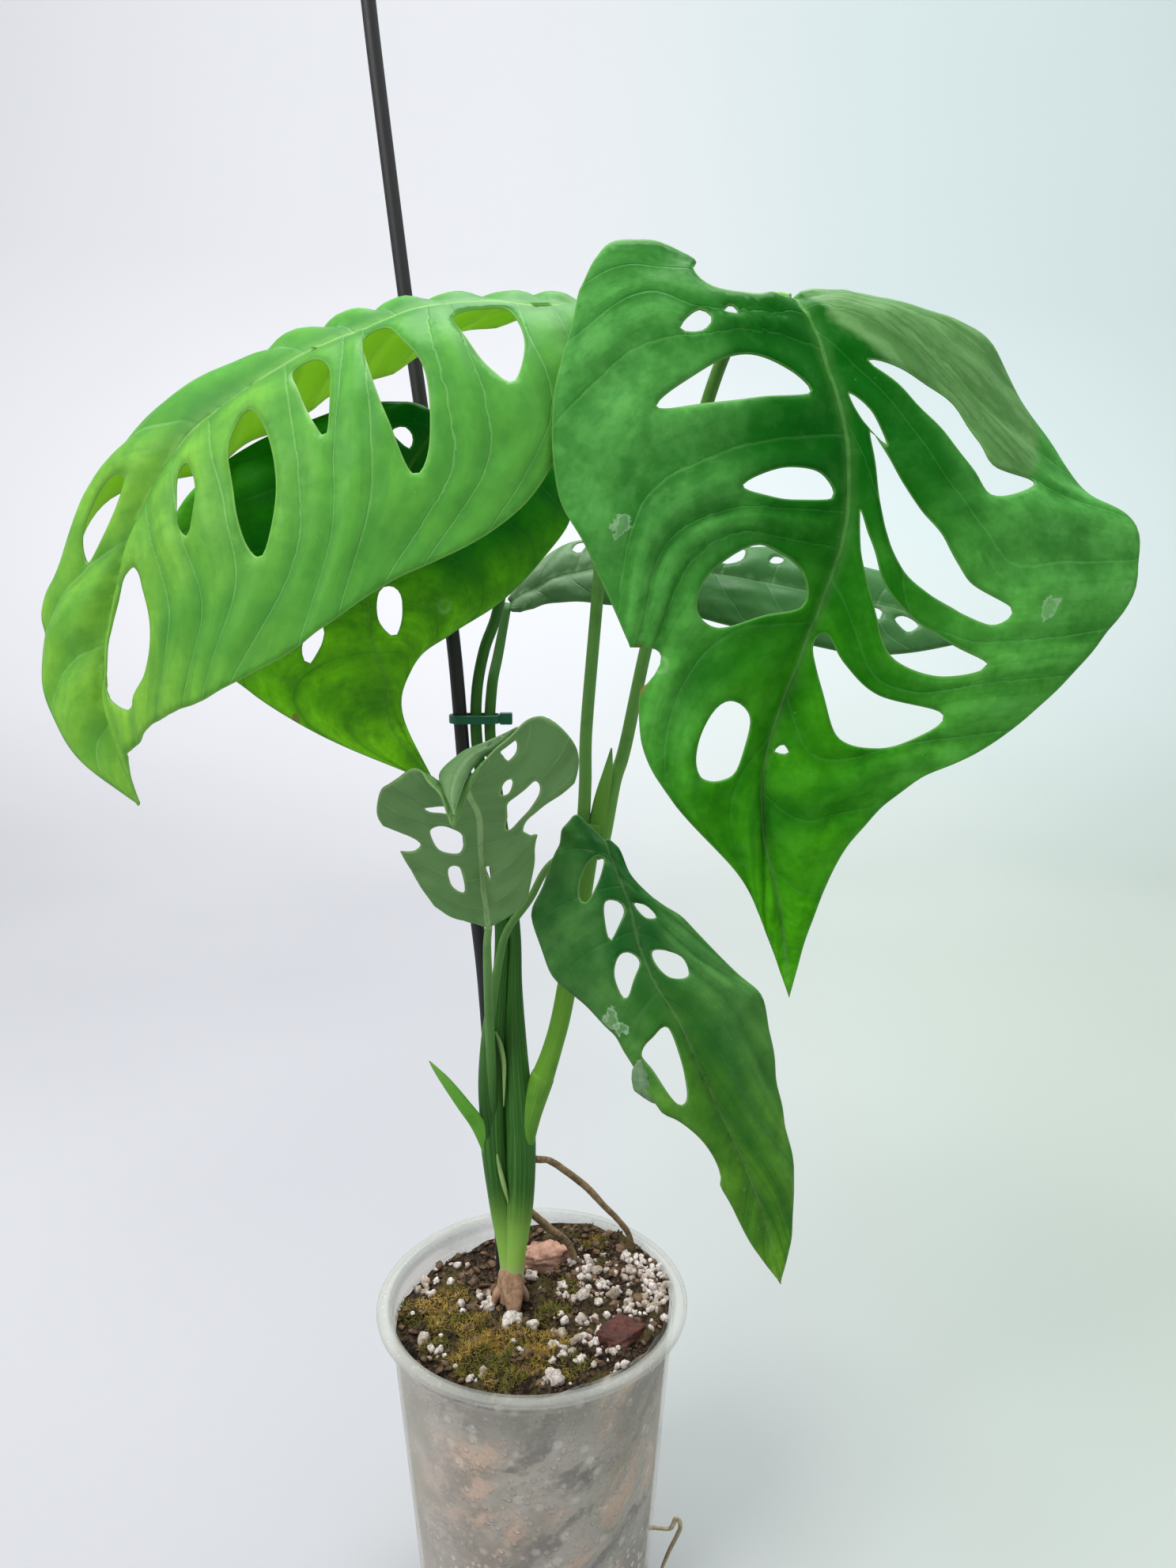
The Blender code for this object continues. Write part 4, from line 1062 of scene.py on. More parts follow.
@dataclass(frozen=True)
class Veins:
    """The side veins of both halves: where each is along the midrib, at even steps from it to the margin."""

    left: tuple[tuple[float, ...], ...]
    right: tuple[tuple[float, ...], ...]

    @classmethod
    def even(cls, first: float, last: float, count: int, lean: float) -> "Veins":
        """Evenly spaced veins that curve towards the tip.

        Args:
            first: Where the first leaves the midrib, in stations.
            last: Where the last does.
            count: How many a half has.
            lean: How far along they reach the margin.

        Returns:
            The veins.
        """
        starts = [first + (last - first) * number / (count - 1) for number in range(count)]
        line = tuple(tuple(start + lean * (step / 4) ** 2 for step in range(5)) for start in starts)
        return cls(line, tuple(tuple(place + 0.08 for place in vein) for vein in line))

    def phase(self, t: float, s: float, side: Side) -> float:
        """Counts the side veins up to a place.

        Args:
            t: The place along the midrib, in stations.
            s: The part of the half's width, from 0 to 1.
            side: The half.

        Returns:
            The count, a whole number on a vein.
        """
        lines = [spline(vein, s * (len(vein) - 1)) for vein in (self.left, self.right)[side.value]]
        i = min(max(bisect_right(lines, t), 1), len(lines) - 1)
        return i - 1 + (t - lines[i - 1]) / max(lines[i] - lines[i - 1], 0.05)


def leaning(*starts: float) -> tuple[tuple[float, ...], ...]:
    """Side veins from these places of the midrib, all with the same gentle lean to the tip."""
    return tuple((start, start + 0.03, start + 0.10, start + 0.25, start + 0.5) for start in starts)


@dataclass
class Leaf:
    """One blade: its cuts from base to tip, the rounded edge beside its base, its openings and its nicks.

    A place on the blade is (t, s): t counts stations from the base, and s is the part of a half's width,
    below 0 on the left half and above 0 on the right. A nick is (side, start, end, depth) along a margin.
    The base's right edge mirrors its left one unless it is given.
    """

    name: str
    slot: str
    finish: LeafFinish
    veins: Veins
    cuts: tuple[Cut, ...]
    base_left: tuple[Place, ...]
    base_right: tuple[Place, ...] = ()
    holes: tuple[tuple[Place, ...], ...] = ()
    nicks: tuple[tuple[int, float, float, float], ...] = ()
    spacing: float = 2.0
    thickness: float = 0.55
    quilt: Place = (1.2, 1.2)
    groove: float = 0.7
    ripple: Place = (0.5, 0.5)
    waves: float = 5.1
    pucker: float = 0.8
    settles: Place = (0.0, 0.5)
    fold: Triple = (0.0, 1.0, 1.0)
    node: str = ""
    fine: int = 24
    run: list[float] = field(init=False, default_factory=list)

    def __post_init__(self) -> None:
        """Measures the midrib."""
        stations = [Station(*cut) for cut in self.cuts]
        self.last = len(stations) - 1
        self.mid = [Vector(cut.mid) for cut in stations]
        left = [Vector(cut.left or cut.mid) for cut in stations]
        self.sides = (left, [Vector(cut.right or cut.mid) for cut in stations])
        self.bulges = [[cut.bulge[side.value] for cut in stations] for side in Side]
        line = [spline(self.mid, step / self.fine) for step in range(self.fine * self.last + 1)]
        self.run = [0.0]
        for here, there in zip(line, line[1:]):
            self.run.append(self.run[-1] + (there - here).length)

    def along(self, t: float) -> float:
        """The length of midrib from the base to t, which goes on in a straight line before the base.

        Args:
            t: The place on the midrib, in stations.

        Returns:
            The length in millimetres.
        """
        if t <= 0:
            return t * self.run[self.fine]
        step = min(t * self.fine, len(self.run) - 1.0)
        low = min(int(step), len(self.run) - 2)
        return self.run[low] + (step - low) * (self.run[low + 1] - self.run[low])

    def station(self, length: float) -> float:
        """The t at this length of midrib.

        Args:
            length: The length in millimetres.

        Returns:
            The place, in stations.
        """
        if length <= 0:
            return length / self.run[self.fine]
        low = min(bisect_right(self.run, length), len(self.run) - 1) - 1
        part = (length - self.run[low]) / (self.run[low + 1] - self.run[low])
        return min((low + part) / self.fine, float(self.last))

    def chord(self, t: float, side: Side) -> Vector:
        """The straight way from the midrib to a margin at t."""
        return spline(self.sides[side.value], t) - spline(self.mid, t)

    def flat(self, t: float, s: float) -> Vector:
        """The place of (t, s) on the leaf laid flat, in millimetres."""
        return Vector((self.along(t), s * self.chord(t, Side(int(s > 0))).length, 0.0))

    def margin(self, t: float, side: Side) -> float:
        """How much of the half's width is left at t, where nicks take some away.

        Args:
            t: The place along the midrib, in stations.
            side: The half.

        Returns:
            The part, 1 where no nick is.
        """
        left = 1.0
        for nick_side, start, end, depth in self.nicks:
            if nick_side == side.value and start < t < end:
                left -= depth * math.sin(math.pi * (t - start) / (end - start)) ** 0.6
        return left

    def half_outline(self, side: Side) -> list[Vector]:
        """One half's outline on the flat leaf, from the base along its margin to the tip.

        Args:
            side: The half.

        Returns:
            Its points.
        """
        right = self.base_right or [(t, -s) for t, s in self.base_left]
        base = [Vector(place) for place in (self.base_left, right)[side.value]]
        steps = self.fine * (len(base) - 1)
        points = [tuple(spline(base, step / self.fine)) for step in range(steps)]
        start, sign = base[-1].x, base[-1].y
        steps = int((self.last - start) * self.fine)
        for step in range(steps):
            t = start + (self.last - start) * step / steps
            points.append((t, sign * self.margin(t, side)))
        return [self.flat(t, s) for t, s in points]

    def outline(self, spacing: float) -> list[Vector]:
        """The closed outline on the flat leaf, with its points about this far apart.

        Args:
            spacing: About how far apart the points are.

        Returns:
            Its points.
        """
        tip = self.flat(self.last, 0.0)
        right, left = self.half_outline(Side.RIGHT), self.half_outline(Side.LEFT)
        return thinned(right, spacing, tip) + [tip] + thinned(left, spacing, tip)[:0:-1]

    def hole_outline(self, hole: tuple[Place, ...], spacing: float) -> list[Vector]:
        """The outline of one opening on the flat leaf: a smooth closed curve through its points.

        Args:
            hole: The opening's places on the blade.
            spacing: About how far apart the points are.

        Returns:
            Its points.
        """
        places = [Vector(place) for place in hole]
        steps = self.fine * len(places)
        ring = [self.flat(*closed_spline(places, step / self.fine)) for step in range(steps)]
        around = sum((there - here).length for here, there in zip(ring, ring[1:]))
        return thinned(ring, min(spacing, around / 9), ring[0])

    def relief(self, t: float, s: float, side: Side, across: float, phase: float, edge: float) -> float:
        """How far the skin stands off its smooth sheet.

        Args:
            t: The place along the midrib, in stations.
            s: The part of the half's width.
            side: The half.
            across: The distance from the midrib.
            phase: The count of side veins.
            edge: The distance to the nearest edge.

        Returns:
            The height towards the upper side, which swells between the veins and sinks at the midrib.
        """
        lasts = eased(self.last - t, 0.0, 1.5)
        swell = abs(math.sin(math.pi * phase)) ** 1.15 - 0.4
        fade = eased(s, 0.02, 0.16) * (1 - 0.5 * eased(s, 0.75, 1.0)) * (0.5 + 0.5 * eased(edge, 0.0, 5.0))
        fade *= eased(t, *self.settles)
        wave = math.sin(t * self.waves + 1.3) * eased(s, 0.55, 1.0) * self.ripple[side.value]
        lip = 0.35 * (1 - eased(edge, 0.0, 2.2))
        groove = self.groove * math.exp(-((across / 1.9) ** 2)) * (0.3 + 0.7 * lasts)
        pucker = self.pucker * noise.noise(Vector((t * 2.3, s * 5.0, across * 0.05 + 9.0 * side.value)))
        return (self.quilt[side.value] * swell * fade + wave + pucker) * lasts - groove - lip

    def folded(self, t: float, s: float, side: Side) -> float:
        """How pale the skin is, which only the folded lobe beside the base on the right is.

        Args:
            t: The place along the midrib, in stations.
            s: The part of the half's width.
            side: The half.

        Returns:
            The part, from 0 to 1.
        """
        end, start, near = self.fold
        if side is Side.LEFT or not end:
            return 0.0
        past = max(self.veins.phase(t, s, side) / 2.42, (t + 3.7 * max(s - 0.7, 0.0)) / end)
        return (1 - eased(past, 1.0, 1.06)) * eased(s, start, near)

    def skin(self, flat: Vector, edge: float) -> tuple[Vector, Vector, Vector]:
        """Finds a point of the flat leaf in space.

        Args:
            flat: The point.
            edge: Its distance to the nearest edge.

        Returns:
            Its place, and the two vectors that the finish reads.
        """
        t = self.station(flat.x)
        side = Side(int(flat.y > 0))
        chord = self.chord(t, side)
        s = min(abs(flat.y) / max(chord.length, 1e-6), 1.0)
        ahead = spline(self.mid, t + 0.05) - spline(self.mid, t - 0.05)
        normal = ahead.cross(chord) if side is Side.RIGHT else chord.cross(ahead)
        height = spline(self.bulges[side.value], t) * 4 * s * (1 - s) * (1.3 - 0.6 * s)
        phases = [self.veins.phase(t, s if half is side else 0.0, half) for half in Side]
        height += self.relief(t, s, side, abs(flat.y), phases[side.value], edge)
        if normal.length > 1e-9:
            normal.normalize()
        place = spline(self.mid, t) + chord * s + normal * height
        return place, Vector((flat.x, flat.y, edge)), Vector((*phases, self.folded(t, s, side)))

    def sheet(self) -> bmesh.types.BMesh:
        """The blade as one sheet in space, its upper side out.

        Returns:
            The sheet, with the vectors that the finish reads.
        """
        finer = 0.75 * self.spacing
        rings = [self.outline(finer), *(self.hole_outline(hole, finer) for hole in self.holes)]
        bm = flat_sheet(rings, self.spacing)
        for vert in bm.verts:
            if not vert.is_boundary and abs(vert.co.y) < 0.35 * self.spacing:
                vert.co.y = 0.0
        geometry = bm.verts[:] + bm.edges[:] + bm.faces[:]
        bmesh.ops.bisect_plane(bm, geom=geometry, dist=1e-4, plane_co=(0, 0, 0), plane_no=(0, 1, 0))
        border = [vert.co.copy() for vert in bm.verts if vert.is_boundary]
        tree = KDTree(len(border))
        for number, place in enumerate(border):
            tree.insert(place, number)
        tree.balance()
        blade = bm.verts.layers.float_vector.new("blade")
        veins = bm.verts.layers.float_vector.new("veins")
        for vert in bm.verts:
            edge = 0.0 if vert.is_boundary else tree.find(vert.co)[2]
            vert.co, vert[blade], vert[veins] = self.skin(vert.co, edge)
        return bm

    def build(self) -> None:
        """Makes the blade, with its two finishes."""
        looks = [self.finish.upper(self.name + "_upper"), self.finish.lower(self.name + "_under")]
        blade = finished(self.sheet(), self.name + "_blade", looks)
        shell = blade.modifiers.new("Thickness", "SOLIDIFY")
        shell.thickness = self.thickness * MM
        shell.offset = 0.0
        shell.use_quality_normals = True
        shell.material_offset = 1
        placed(blade, self.slot, self.node or self.name)


# Stalks, stem and roots


@dataclass
class Stalk:
    """A petiole or a part of the stem."""

    name: str
    slot: str
    nodes: tuple[str, ...]
    sweep: Sweep
    finish: StalkFinish | WoodyFinish | CoatFinish

    def build(self) -> None:
        """Makes the stalk."""
        piece = finished(self.sweep.mesh(), self.name, [self.finish.material(self.name)])
        placed(piece, self.slot, *self.nodes)


@dataclass
class Tie:
    """The green plant tie: a flat loop round the stake and two petioles, with its catch at the right end."""

    centre: Triple = (-18.8, 10.1, 364.0)
    half_length: float = 5.0
    inner: float = 3.3
    band: float = 1.0
    height: float = 3.0
    sides: int = 48
    catch: Triple = (4.5, 3.4, 4.2)

    def build(self) -> None:
        """Makes the loop and its catch."""
        bm = bmesh.new()
        walls = []
        for reach in (self.inner + self.band, self.inner):
            ring = bmesh.ops.create_circle(bm, segments=self.sides, radius=reach)["verts"]
            bmesh.ops.rotate(bm, verts=ring, matrix=Matrix.Rotation(math.pi / self.sides, 3, "Z"))
            for vert in ring:
                vert.co.x += math.copysign(self.half_length, vert.co.x)
            walls += edges_of(ring)
        band = bmesh.ops.bridge_loops(bm, edges=walls)["faces"]
        rise = bmesh.ops.extrude_face_region(bm, geom=band)["geom"]
        bmesh.ops.translate(bm, vec=(0, 0, self.height), verts=only(rise, bmesh.types.BMVert))
        bmesh.ops.translate(bm, vec=(0, 0, -self.height / 2), verts=bm.verts)
        block = bmesh.ops.create_cube(bm, size=1.0)["verts"]
        bmesh.ops.scale(bm, vec=self.catch, verts=block)
        place = self.half_length + self.inner + self.band / 2 + self.catch[0] / 2
        bmesh.ops.translate(bm, vec=(place, 0, 0), verts=block)
        faces = list({face for vert in block for face in vert.link_faces})
        for face in bmesh.ops.inset_individual(bm, faces=faces, thickness=0.7, depth=-0.25)["faces"]:
            face.smooth = False
        bmesh.ops.translate(bm, vec=self.centre, verts=bm.verts)
        bmesh.ops.recalc_face_normals(bm, faces=bm.faces[:])
        finish = CoatFinish((0.0, 0.10, 0.05), (0.05, 0.22, 0.13), 0.35)
        tie = finished(bm, "tie_loop", [finish.material("tie_green")], smooth=False)
        rounded = tie.modifiers.new("Edges", "BEVEL")
        rounded.width = 0.25 * MM
        rounded.segments = 2
        placed(tie, "tie", "plant_tie")


# Pot and potting mix


@dataclass
class Pot:
    """The clear nursery pot: a thin wall under a rolled rim, with drain holes and slots."""

    height: float = 140.0
    rim: float = 60.0
    base: float = 45.1
    taper: float = 0.0714
    wall: float = 1.0
    floor: float = 1.2
    skirt: float = 3.8
    turns: int = 144
    holes: int = 6
    hole_ring: float = 30.0
    hole_radius: float = 4.0
    slot: Place = (14.0, 36.0)

    def outer(self, z: float) -> float:
        """The radius of the wall's outer face at this height."""
        return self.base + self.taper * z

    def profile(self) -> list[Place]:
        """Half of the cut, from the inner floor's edge over the rolled rim to the underside's edge.

        Returns:
            Its points, as (radius, height).
        """
        top, rim, wall = self.height, self.rim, self.wall
        edge = top - 2.4
        inner = self.outer(edge) - wall
        low, high = self.slot
        return [
            (self.base - 2.2, self.floor),
            (self.outer(2.0) - wall - 0.5, 2.0),
            (self.outer(3.0) - wall, 3.2),
            *[(self.outer(z) - wall, z) for z in (low, high, 60.0, 85.0, 110.0, edge)],
            (inner + 0.5, top - 1.7),
            (inner + 1.1, top - 0.8),
            (inner + 1.6, top - 0.25),
            (inner + 2.2, top),
            (rim - 2.0, top - 0.05),
            (rim - 1.1, top - 0.35),
            (rim - 0.4, top - 0.9),
            (rim, top - 1.7),
            (rim - 0.1, top - self.skirt + 1.2),
            (rim - 0.5, top - self.skirt + 0.75),
            (rim - 1.1, top - self.skirt + 0.6),
            (rim - 1.5, top - self.skirt + 0.9),
            (rim - 1.3, top - 1.9),
            (rim - 2.4, top - 1.3),
            (inner + wall + 0.9, top - 1.3),
            (self.outer(edge), edge - 1.0),
            (self.outer(131.4), 131.4),
            (self.outer(131.0) + 0.5, 131.0),
            (self.outer(130.0) + 0.5, 130.0),
            (self.outer(129.6), 129.6),
            *[(self.outer(z), z) for z in (110.0, 85.0, 60.0, high, low, 2.0)],
            (self.base - 0.1, 1.0),
            (self.base - 0.5, 0.4),
            (self.base - 1.3, 0.0),
        ]

    def in_slot(self, face: bmesh.types.BMFace) -> bool:
        """Whether a slot takes this face of the wall away.

        Args:
            face: The face.

        Returns:
            Whether its middle is in one.
        """
        low, high = self.slot
        middle = face.calc_center_median()
        if not low < middle.z < high:
            return False
        off = math.remainder(math.atan2(middle.y, middle.x), math.tau / self.holes)
        return abs(off) < 1.6 * math.tau / self.turns

    def add_slots(self, bm: bmesh.types.BMesh) -> None:
        """Opens the slots low in the wall, and closes the wall's thickness round them.

        Args:
            bm: The pot's mesh.
        """
        gone = [face for face in bm.faces if self.in_slot(face)]
        bmesh.ops.delete(bm, geom=gone, context="FACES")
        low, high = self.slot
        borders = open_edges(bm, low, high)
        for number in range(self.holes):
            way = round_place(1.0, number / self.holes)
            near = [edge for edge in borders if edge.verts[0].co.dot(way) > 0.9 * self.base]
            bmesh.ops.bridge_loops(bm, edges=near)

    def add_floor(self, bm: bmesh.types.BMesh) -> None:
        """Closes the floor with a sheet on each face and walls round the drain holes.

        Args:
            bm: The pot's mesh.
        """
        pairs = [[] for _ in range(self.holes)]
        for level, way in ((self.floor, 1.0), (0.0, -1.0)):
            ring = open_edges(bm, level, level)
            for number in range(self.holes):
                matrix = Matrix.Translation(round_place(self.hole_ring, number / self.holes, level))
                circle = {"segments": 32, "radius": self.hole_radius, "matrix": matrix}
                hole = edges_of(bmesh.ops.create_circle(bm, **circle)["verts"])
                pairs[number] += hole
                ring += hole
            bmesh.ops.triangle_fill(bm, use_beauty=True, normal=(0, 0, way), edges=ring)
        for edges in pairs:
            bmesh.ops.bridge_loops(bm, edges=edges)

    def build(self) -> None:
        """Turns the wall, opens it and dresses it."""
        bm = bmesh.new()
        corners = [bm.verts.new((radius, 0.0, z)) for radius, z in self.profile()]
        line = [bm.edges.new(pair) for pair in zip(corners, corners[1:])]
        turn = Matrix.Rotation(math.pi / self.turns, 3, "Z")
        bmesh.ops.rotate(bm, verts=corners, matrix=turn)
        around = {"cent": (0, 0, 0), "axis": (0, 0, 1), "angle": math.tau}
        bmesh.ops.spin(bm, geom=corners + line, steps=self.turns, use_merge=True, **around)
        bmesh.ops.remove_doubles(bm, verts=bm.verts[:], dist=0.001)
        self.add_slots(bm)
        self.add_floor(bm)
        bmesh.ops.recalc_face_normals(bm, faces=bm.faces[:])
        pot = finished(bm, "clear_pot", [PotFinish().material("frosted_plastic")])
        pot.data.set_sharp_from_angle(angle=math.radians(35))
        placed(pot, "clear_plastic", "pot")


@dataclass
class PottingMix:
    """The mix of soil, bark and perlite, with moss on top."""

    level: float = 133.5
    rise: float = 5.6
    turn: float = -6.0
    run: float = 20.0
    bottom: float = 3.3
    clear: float = 1.6
    spacing: float = 1.5
    inside: float = 53.0
    seed: int = 7

    def height(self, x: float, y: float) -> float:
        """The height of the top, which is low on the left and heaped on the right.

        Args:
            x: The place to the right.
            y: The place to the back.

        Returns:
            The height.
        """
        rise = self.rise * math.tanh((x - self.turn) / self.run)
        lumps = 0.8 * math.sin(0.31 * x + 1.0) * math.cos(0.27 * y) + 0.6 * math.sin(0.53 * y + 0.2 * x)
        return self.level + rise + lumps

    def crumbled(self, x: float, y: float) -> float:
        """The height of the top with its crumbs and the mounds of moss.

        Args:
            x: The place to the right.
            y: The place to the back.

        Returns:
            The height.
        """
        place = Vector((x, y, 0.0))
        rough = noise.fractal(place * 0.13, 0.7, 2.1, 5) * 2.6 + noise.noise(place * 0.8) * 1.1
        mounds = [reach * math.exp(-((x - a) ** 2 + (y - b) ** 2) / reach**2) for a, b, reach, _ in MOSS]
        return self.height(x, y) + rough + 0.24 * max(mounds)

    def body(self, pot: Pot) -> None:
        """Makes the column of mix: a crumbly top and a side that follows the wall.

        Args:
            pot: The pot that holds it.
        """
        radius = pot.outer(self.level) - self.clear
        count = int(math.tau * radius / self.spacing)
        bm = flat_sheet([[round_place(radius, number / count) for number in range(count)]], self.spacing)
        for vert in bm.verts:
            vert.co.z = self.crumbled(vert.co.x, vert.co.y)
            if vert.is_boundary:
                vert.co.z = self.height(vert.co.x, vert.co.y)
        edges = [edge for edge in bm.edges if edge.is_boundary]
        levels = [self.level - 10.0 - 12.0 * number for number in range(10)] + [self.bottom]
        for level in levels:
            grown = bmesh.ops.extrude_edge_only(bm, edges=edges)["geom"]
            verts = set(only(grown, bmesh.types.BMVert))
            for vert in verts:
                reach = (pot.outer(level) - self.clear) / Vector(vert.co.xy).length
                vert.co = (vert.co.x * reach, vert.co.y * reach, level)
            for face in only(grown, bmesh.types.BMFace):
                face.material_index = 1
            edges = [edge for edge in only(grown, bmesh.types.BMEdge) if verts.issuperset(edge.verts)]
        for face in bmesh.ops.contextual_create(bm, geom=edges)["faces"]:
            face.material_index = 1
        bmesh.ops.recalc_face_normals(bm, faces=bm.faces[:])
        finish = MixFinish()
        column = finished(bm, "mix_column", [finish.top("mix_top"), finish.side("mix_side")])
        placed(column, "mix", "potting_mix")

    def spread(self, rng: random.Random, spots: tuple[Spot, ...]) -> list[Place]:
        """Places on the top.

        Args:
            rng: The source of chance.
            spots: Where they gather, as (x, y, reach, count).

        Returns:
            The places.
        """
        places = []
        for x, y, reach, count in spots:
            for _ in range(count):
                away = reach * math.sqrt(rng.random())
                angle = rng.uniform(0, math.tau)
                place = (x + away * math.cos(angle), y + away * math.sin(angle))
                if math.hypot(*place) < self.inside:
                    places.append(place)
        return places

    def grain(
        self, bm: bmesh.types.BMesh, rng: random.Random, place: Place, size: float, squash: float
    ) -> None:
        """Adds one lumpy grain.

        Args:
            bm: The mesh to add to.
            rng: The source of chance.
            place: Where it lies.
            size: Its radius.
            squash: Its height as a part of its width.
        """
        x, y = place
        around = 12 if size > 2.0 else 7
        ball = bmesh.ops.create_uvsphere(bm, u_segments=around, v_segments=around - 2, radius=1.0)
        verts = ball["verts"]
        offset = Vector([rng.uniform(0, 99) for _ in range(3)])
        for vert in verts:
            vert.co *= 1.0 + 0.65 * noise.noise(vert.co * 1.5 + offset)
        lean = Matrix.Rotation(rng.uniform(-0.7, 0.7), 4, "X")
        lean = lean @ Matrix.Rotation(rng.uniform(-0.7, 0.7), 4, "Y")
        turn = Matrix.Rotation(rng.uniform(0, math.tau), 4, "Z")
        sizes = (size * rng.uniform(0.8, 1.3), size * rng.uniform(0.7, 1.0), size * squash)
        shape = Matrix.Diagonal((*sizes, 1.0))
        rest = Matrix.Translation((x, y, self.crumbled(x, y) + 0.35 * size))
        bmesh.ops.transform(bm, matrix=rest @ lean @ turn @ shape, verts=verts)

    def grains(self, kind: Crumb, spots: tuple[Spot, ...], sizes: Place, look: bpy.types.Material) -> None:
        """Scatters loose grains of one kind.

        Args:
            kind: What they are.
            spots: Where they gather, as (x, y, reach, count), where a single grain has its radius for reach.
            sizes: Their least and greatest radius.
            look: Their material.
        """
        rng = random.Random(f"{self.seed}{kind.value}")
        heap = Heap()
        squash = {Crumb.PERLITE: 0.85, Crumb.BARK: 0.42, Crumb.DUST: 0.6}[kind]
        for x, y, reach, _ in (spot for spot in spots if spot[3] == 1):
            self.grain(heap.part(), rng, (x, y), reach, squash)
        for place in self.spread(rng, tuple(spot for spot in spots if spot[3] > 1)):
            self.grain(heap.part(), rng, place, rng.uniform(*sizes) * rng.uniform(0.6, 1.0), squash)
        placed(finished(heap.whole(), f"{kind.value}_grains", [look]), "mix", "potting_mix")

    def moss(self, spots: tuple[Spot, ...], look: bpy.types.Material) -> None:
        """Plants moss in mounds of short leaning strands.

        Args:
            spots: Where it grows, as (x, y, reach, count).
            look: Its material.
        """
        rng = random.Random(self.seed + 1)
        heap = Heap()
        for x, y in self.spread(rng, spots):
            tall = rng.uniform(1.0, 3.0)
            bm = heap.part()
            verts = bmesh.ops.create_cone(
                bm, segments=3, radius1=rng.uniform(0.18, 0.36), radius2=0.06, depth=tall, cap_ends=True
            )["verts"]
            lean = Matrix.Rotation(rng.gauss(0, 0.9), 4, "X") @ Matrix.Rotation(rng.gauss(0, 0.9), 4, "Y")
            foot = Matrix.Translation((x, y, self.crumbled(x, y) - 0.3))
            bmesh.ops.transform(bm, matrix=foot @ lean @ Matrix.Translation((0, 0, tall / 2)), verts=verts)
        placed(finished(heap.whole(), "moss_tufts", [look], smooth=False), "mix", "potting_mix")

    def build(self, pot: Pot) -> None:
        """Makes the whole mix.

        Args:
            pot: The pot that holds it.
        """
        self.body(pot)
        finish = MixFinish()
        brown = WoodyFinish((0.030, 0.018, 0.010), (0.20, 0.12, 0.065), 500.0, 0.0006)
        dust = WoodyFinish((0.015, 0.010, 0.007), (0.09, 0.055, 0.03), 700.0, 0.0004)
        self.grains(Crumb.PERLITE, PERLITE, (0.8, 2.3), finish.perlite("perlite"))
        crumbs = brown.material("bark_crumbs")
        self.grains(Crumb.BARK, ((0.0, 0.0, 52.0, 260), (24.0, 26.0, 22.0, 60)), (0.8, 2.6), crumbs)
        self.grains(Crumb.DUST, ((0.0, 0.0, 52.0, 1500),), (0.4, 1.1), dust.material("fine_crumbs"))
        self.moss(MOSS, finish.moss("moss"))


@dataclass
class BarkChunk:
    """A large piece of bark on the mix."""

    name: str
    size: Triple
    place: Triple
    turn: float
    finish: WoodyFinish

    def build(self) -> None:
        """Makes a layered, broken block."""
        bm = bmesh.new()
        bmesh.ops.create_cube(bm, size=1.0)
        bmesh.ops.subdivide_edges(bm, edges=bm.edges[:], cuts=13, use_grid_fill=True)
        for vert in bm.verts:
            flat = vert.co.copy()
            vert.co = flat.lerp(flat.normalized() * 0.60, 0.45)
            layer = noise.noise(Vector((flat.x * 1.5, flat.y * 1.2, flat.z * 9.0))) * 0.12
            chip = noise.fractal(flat * 2.6 + Vector(self.place), 0.7, 2.1, 5) * 0.17
            vert.co += vert.co.normalized() * (layer + chip)
        bmesh.ops.scale(bm, vec=self.size, verts=bm.verts[:])
        turn = Matrix.Rotation(math.radians(self.turn), 4, "Z")
        bmesh.ops.transform(bm, matrix=Matrix.Translation(self.place) @ turn, verts=bm.verts[:])
        bmesh.ops.recalc_face_normals(bm, faces=bm.faces[:])
        chunk = finished(bm, self.name + "_chunk", [self.finish.material(self.name)])
        placed(chunk, self.name, self.name)


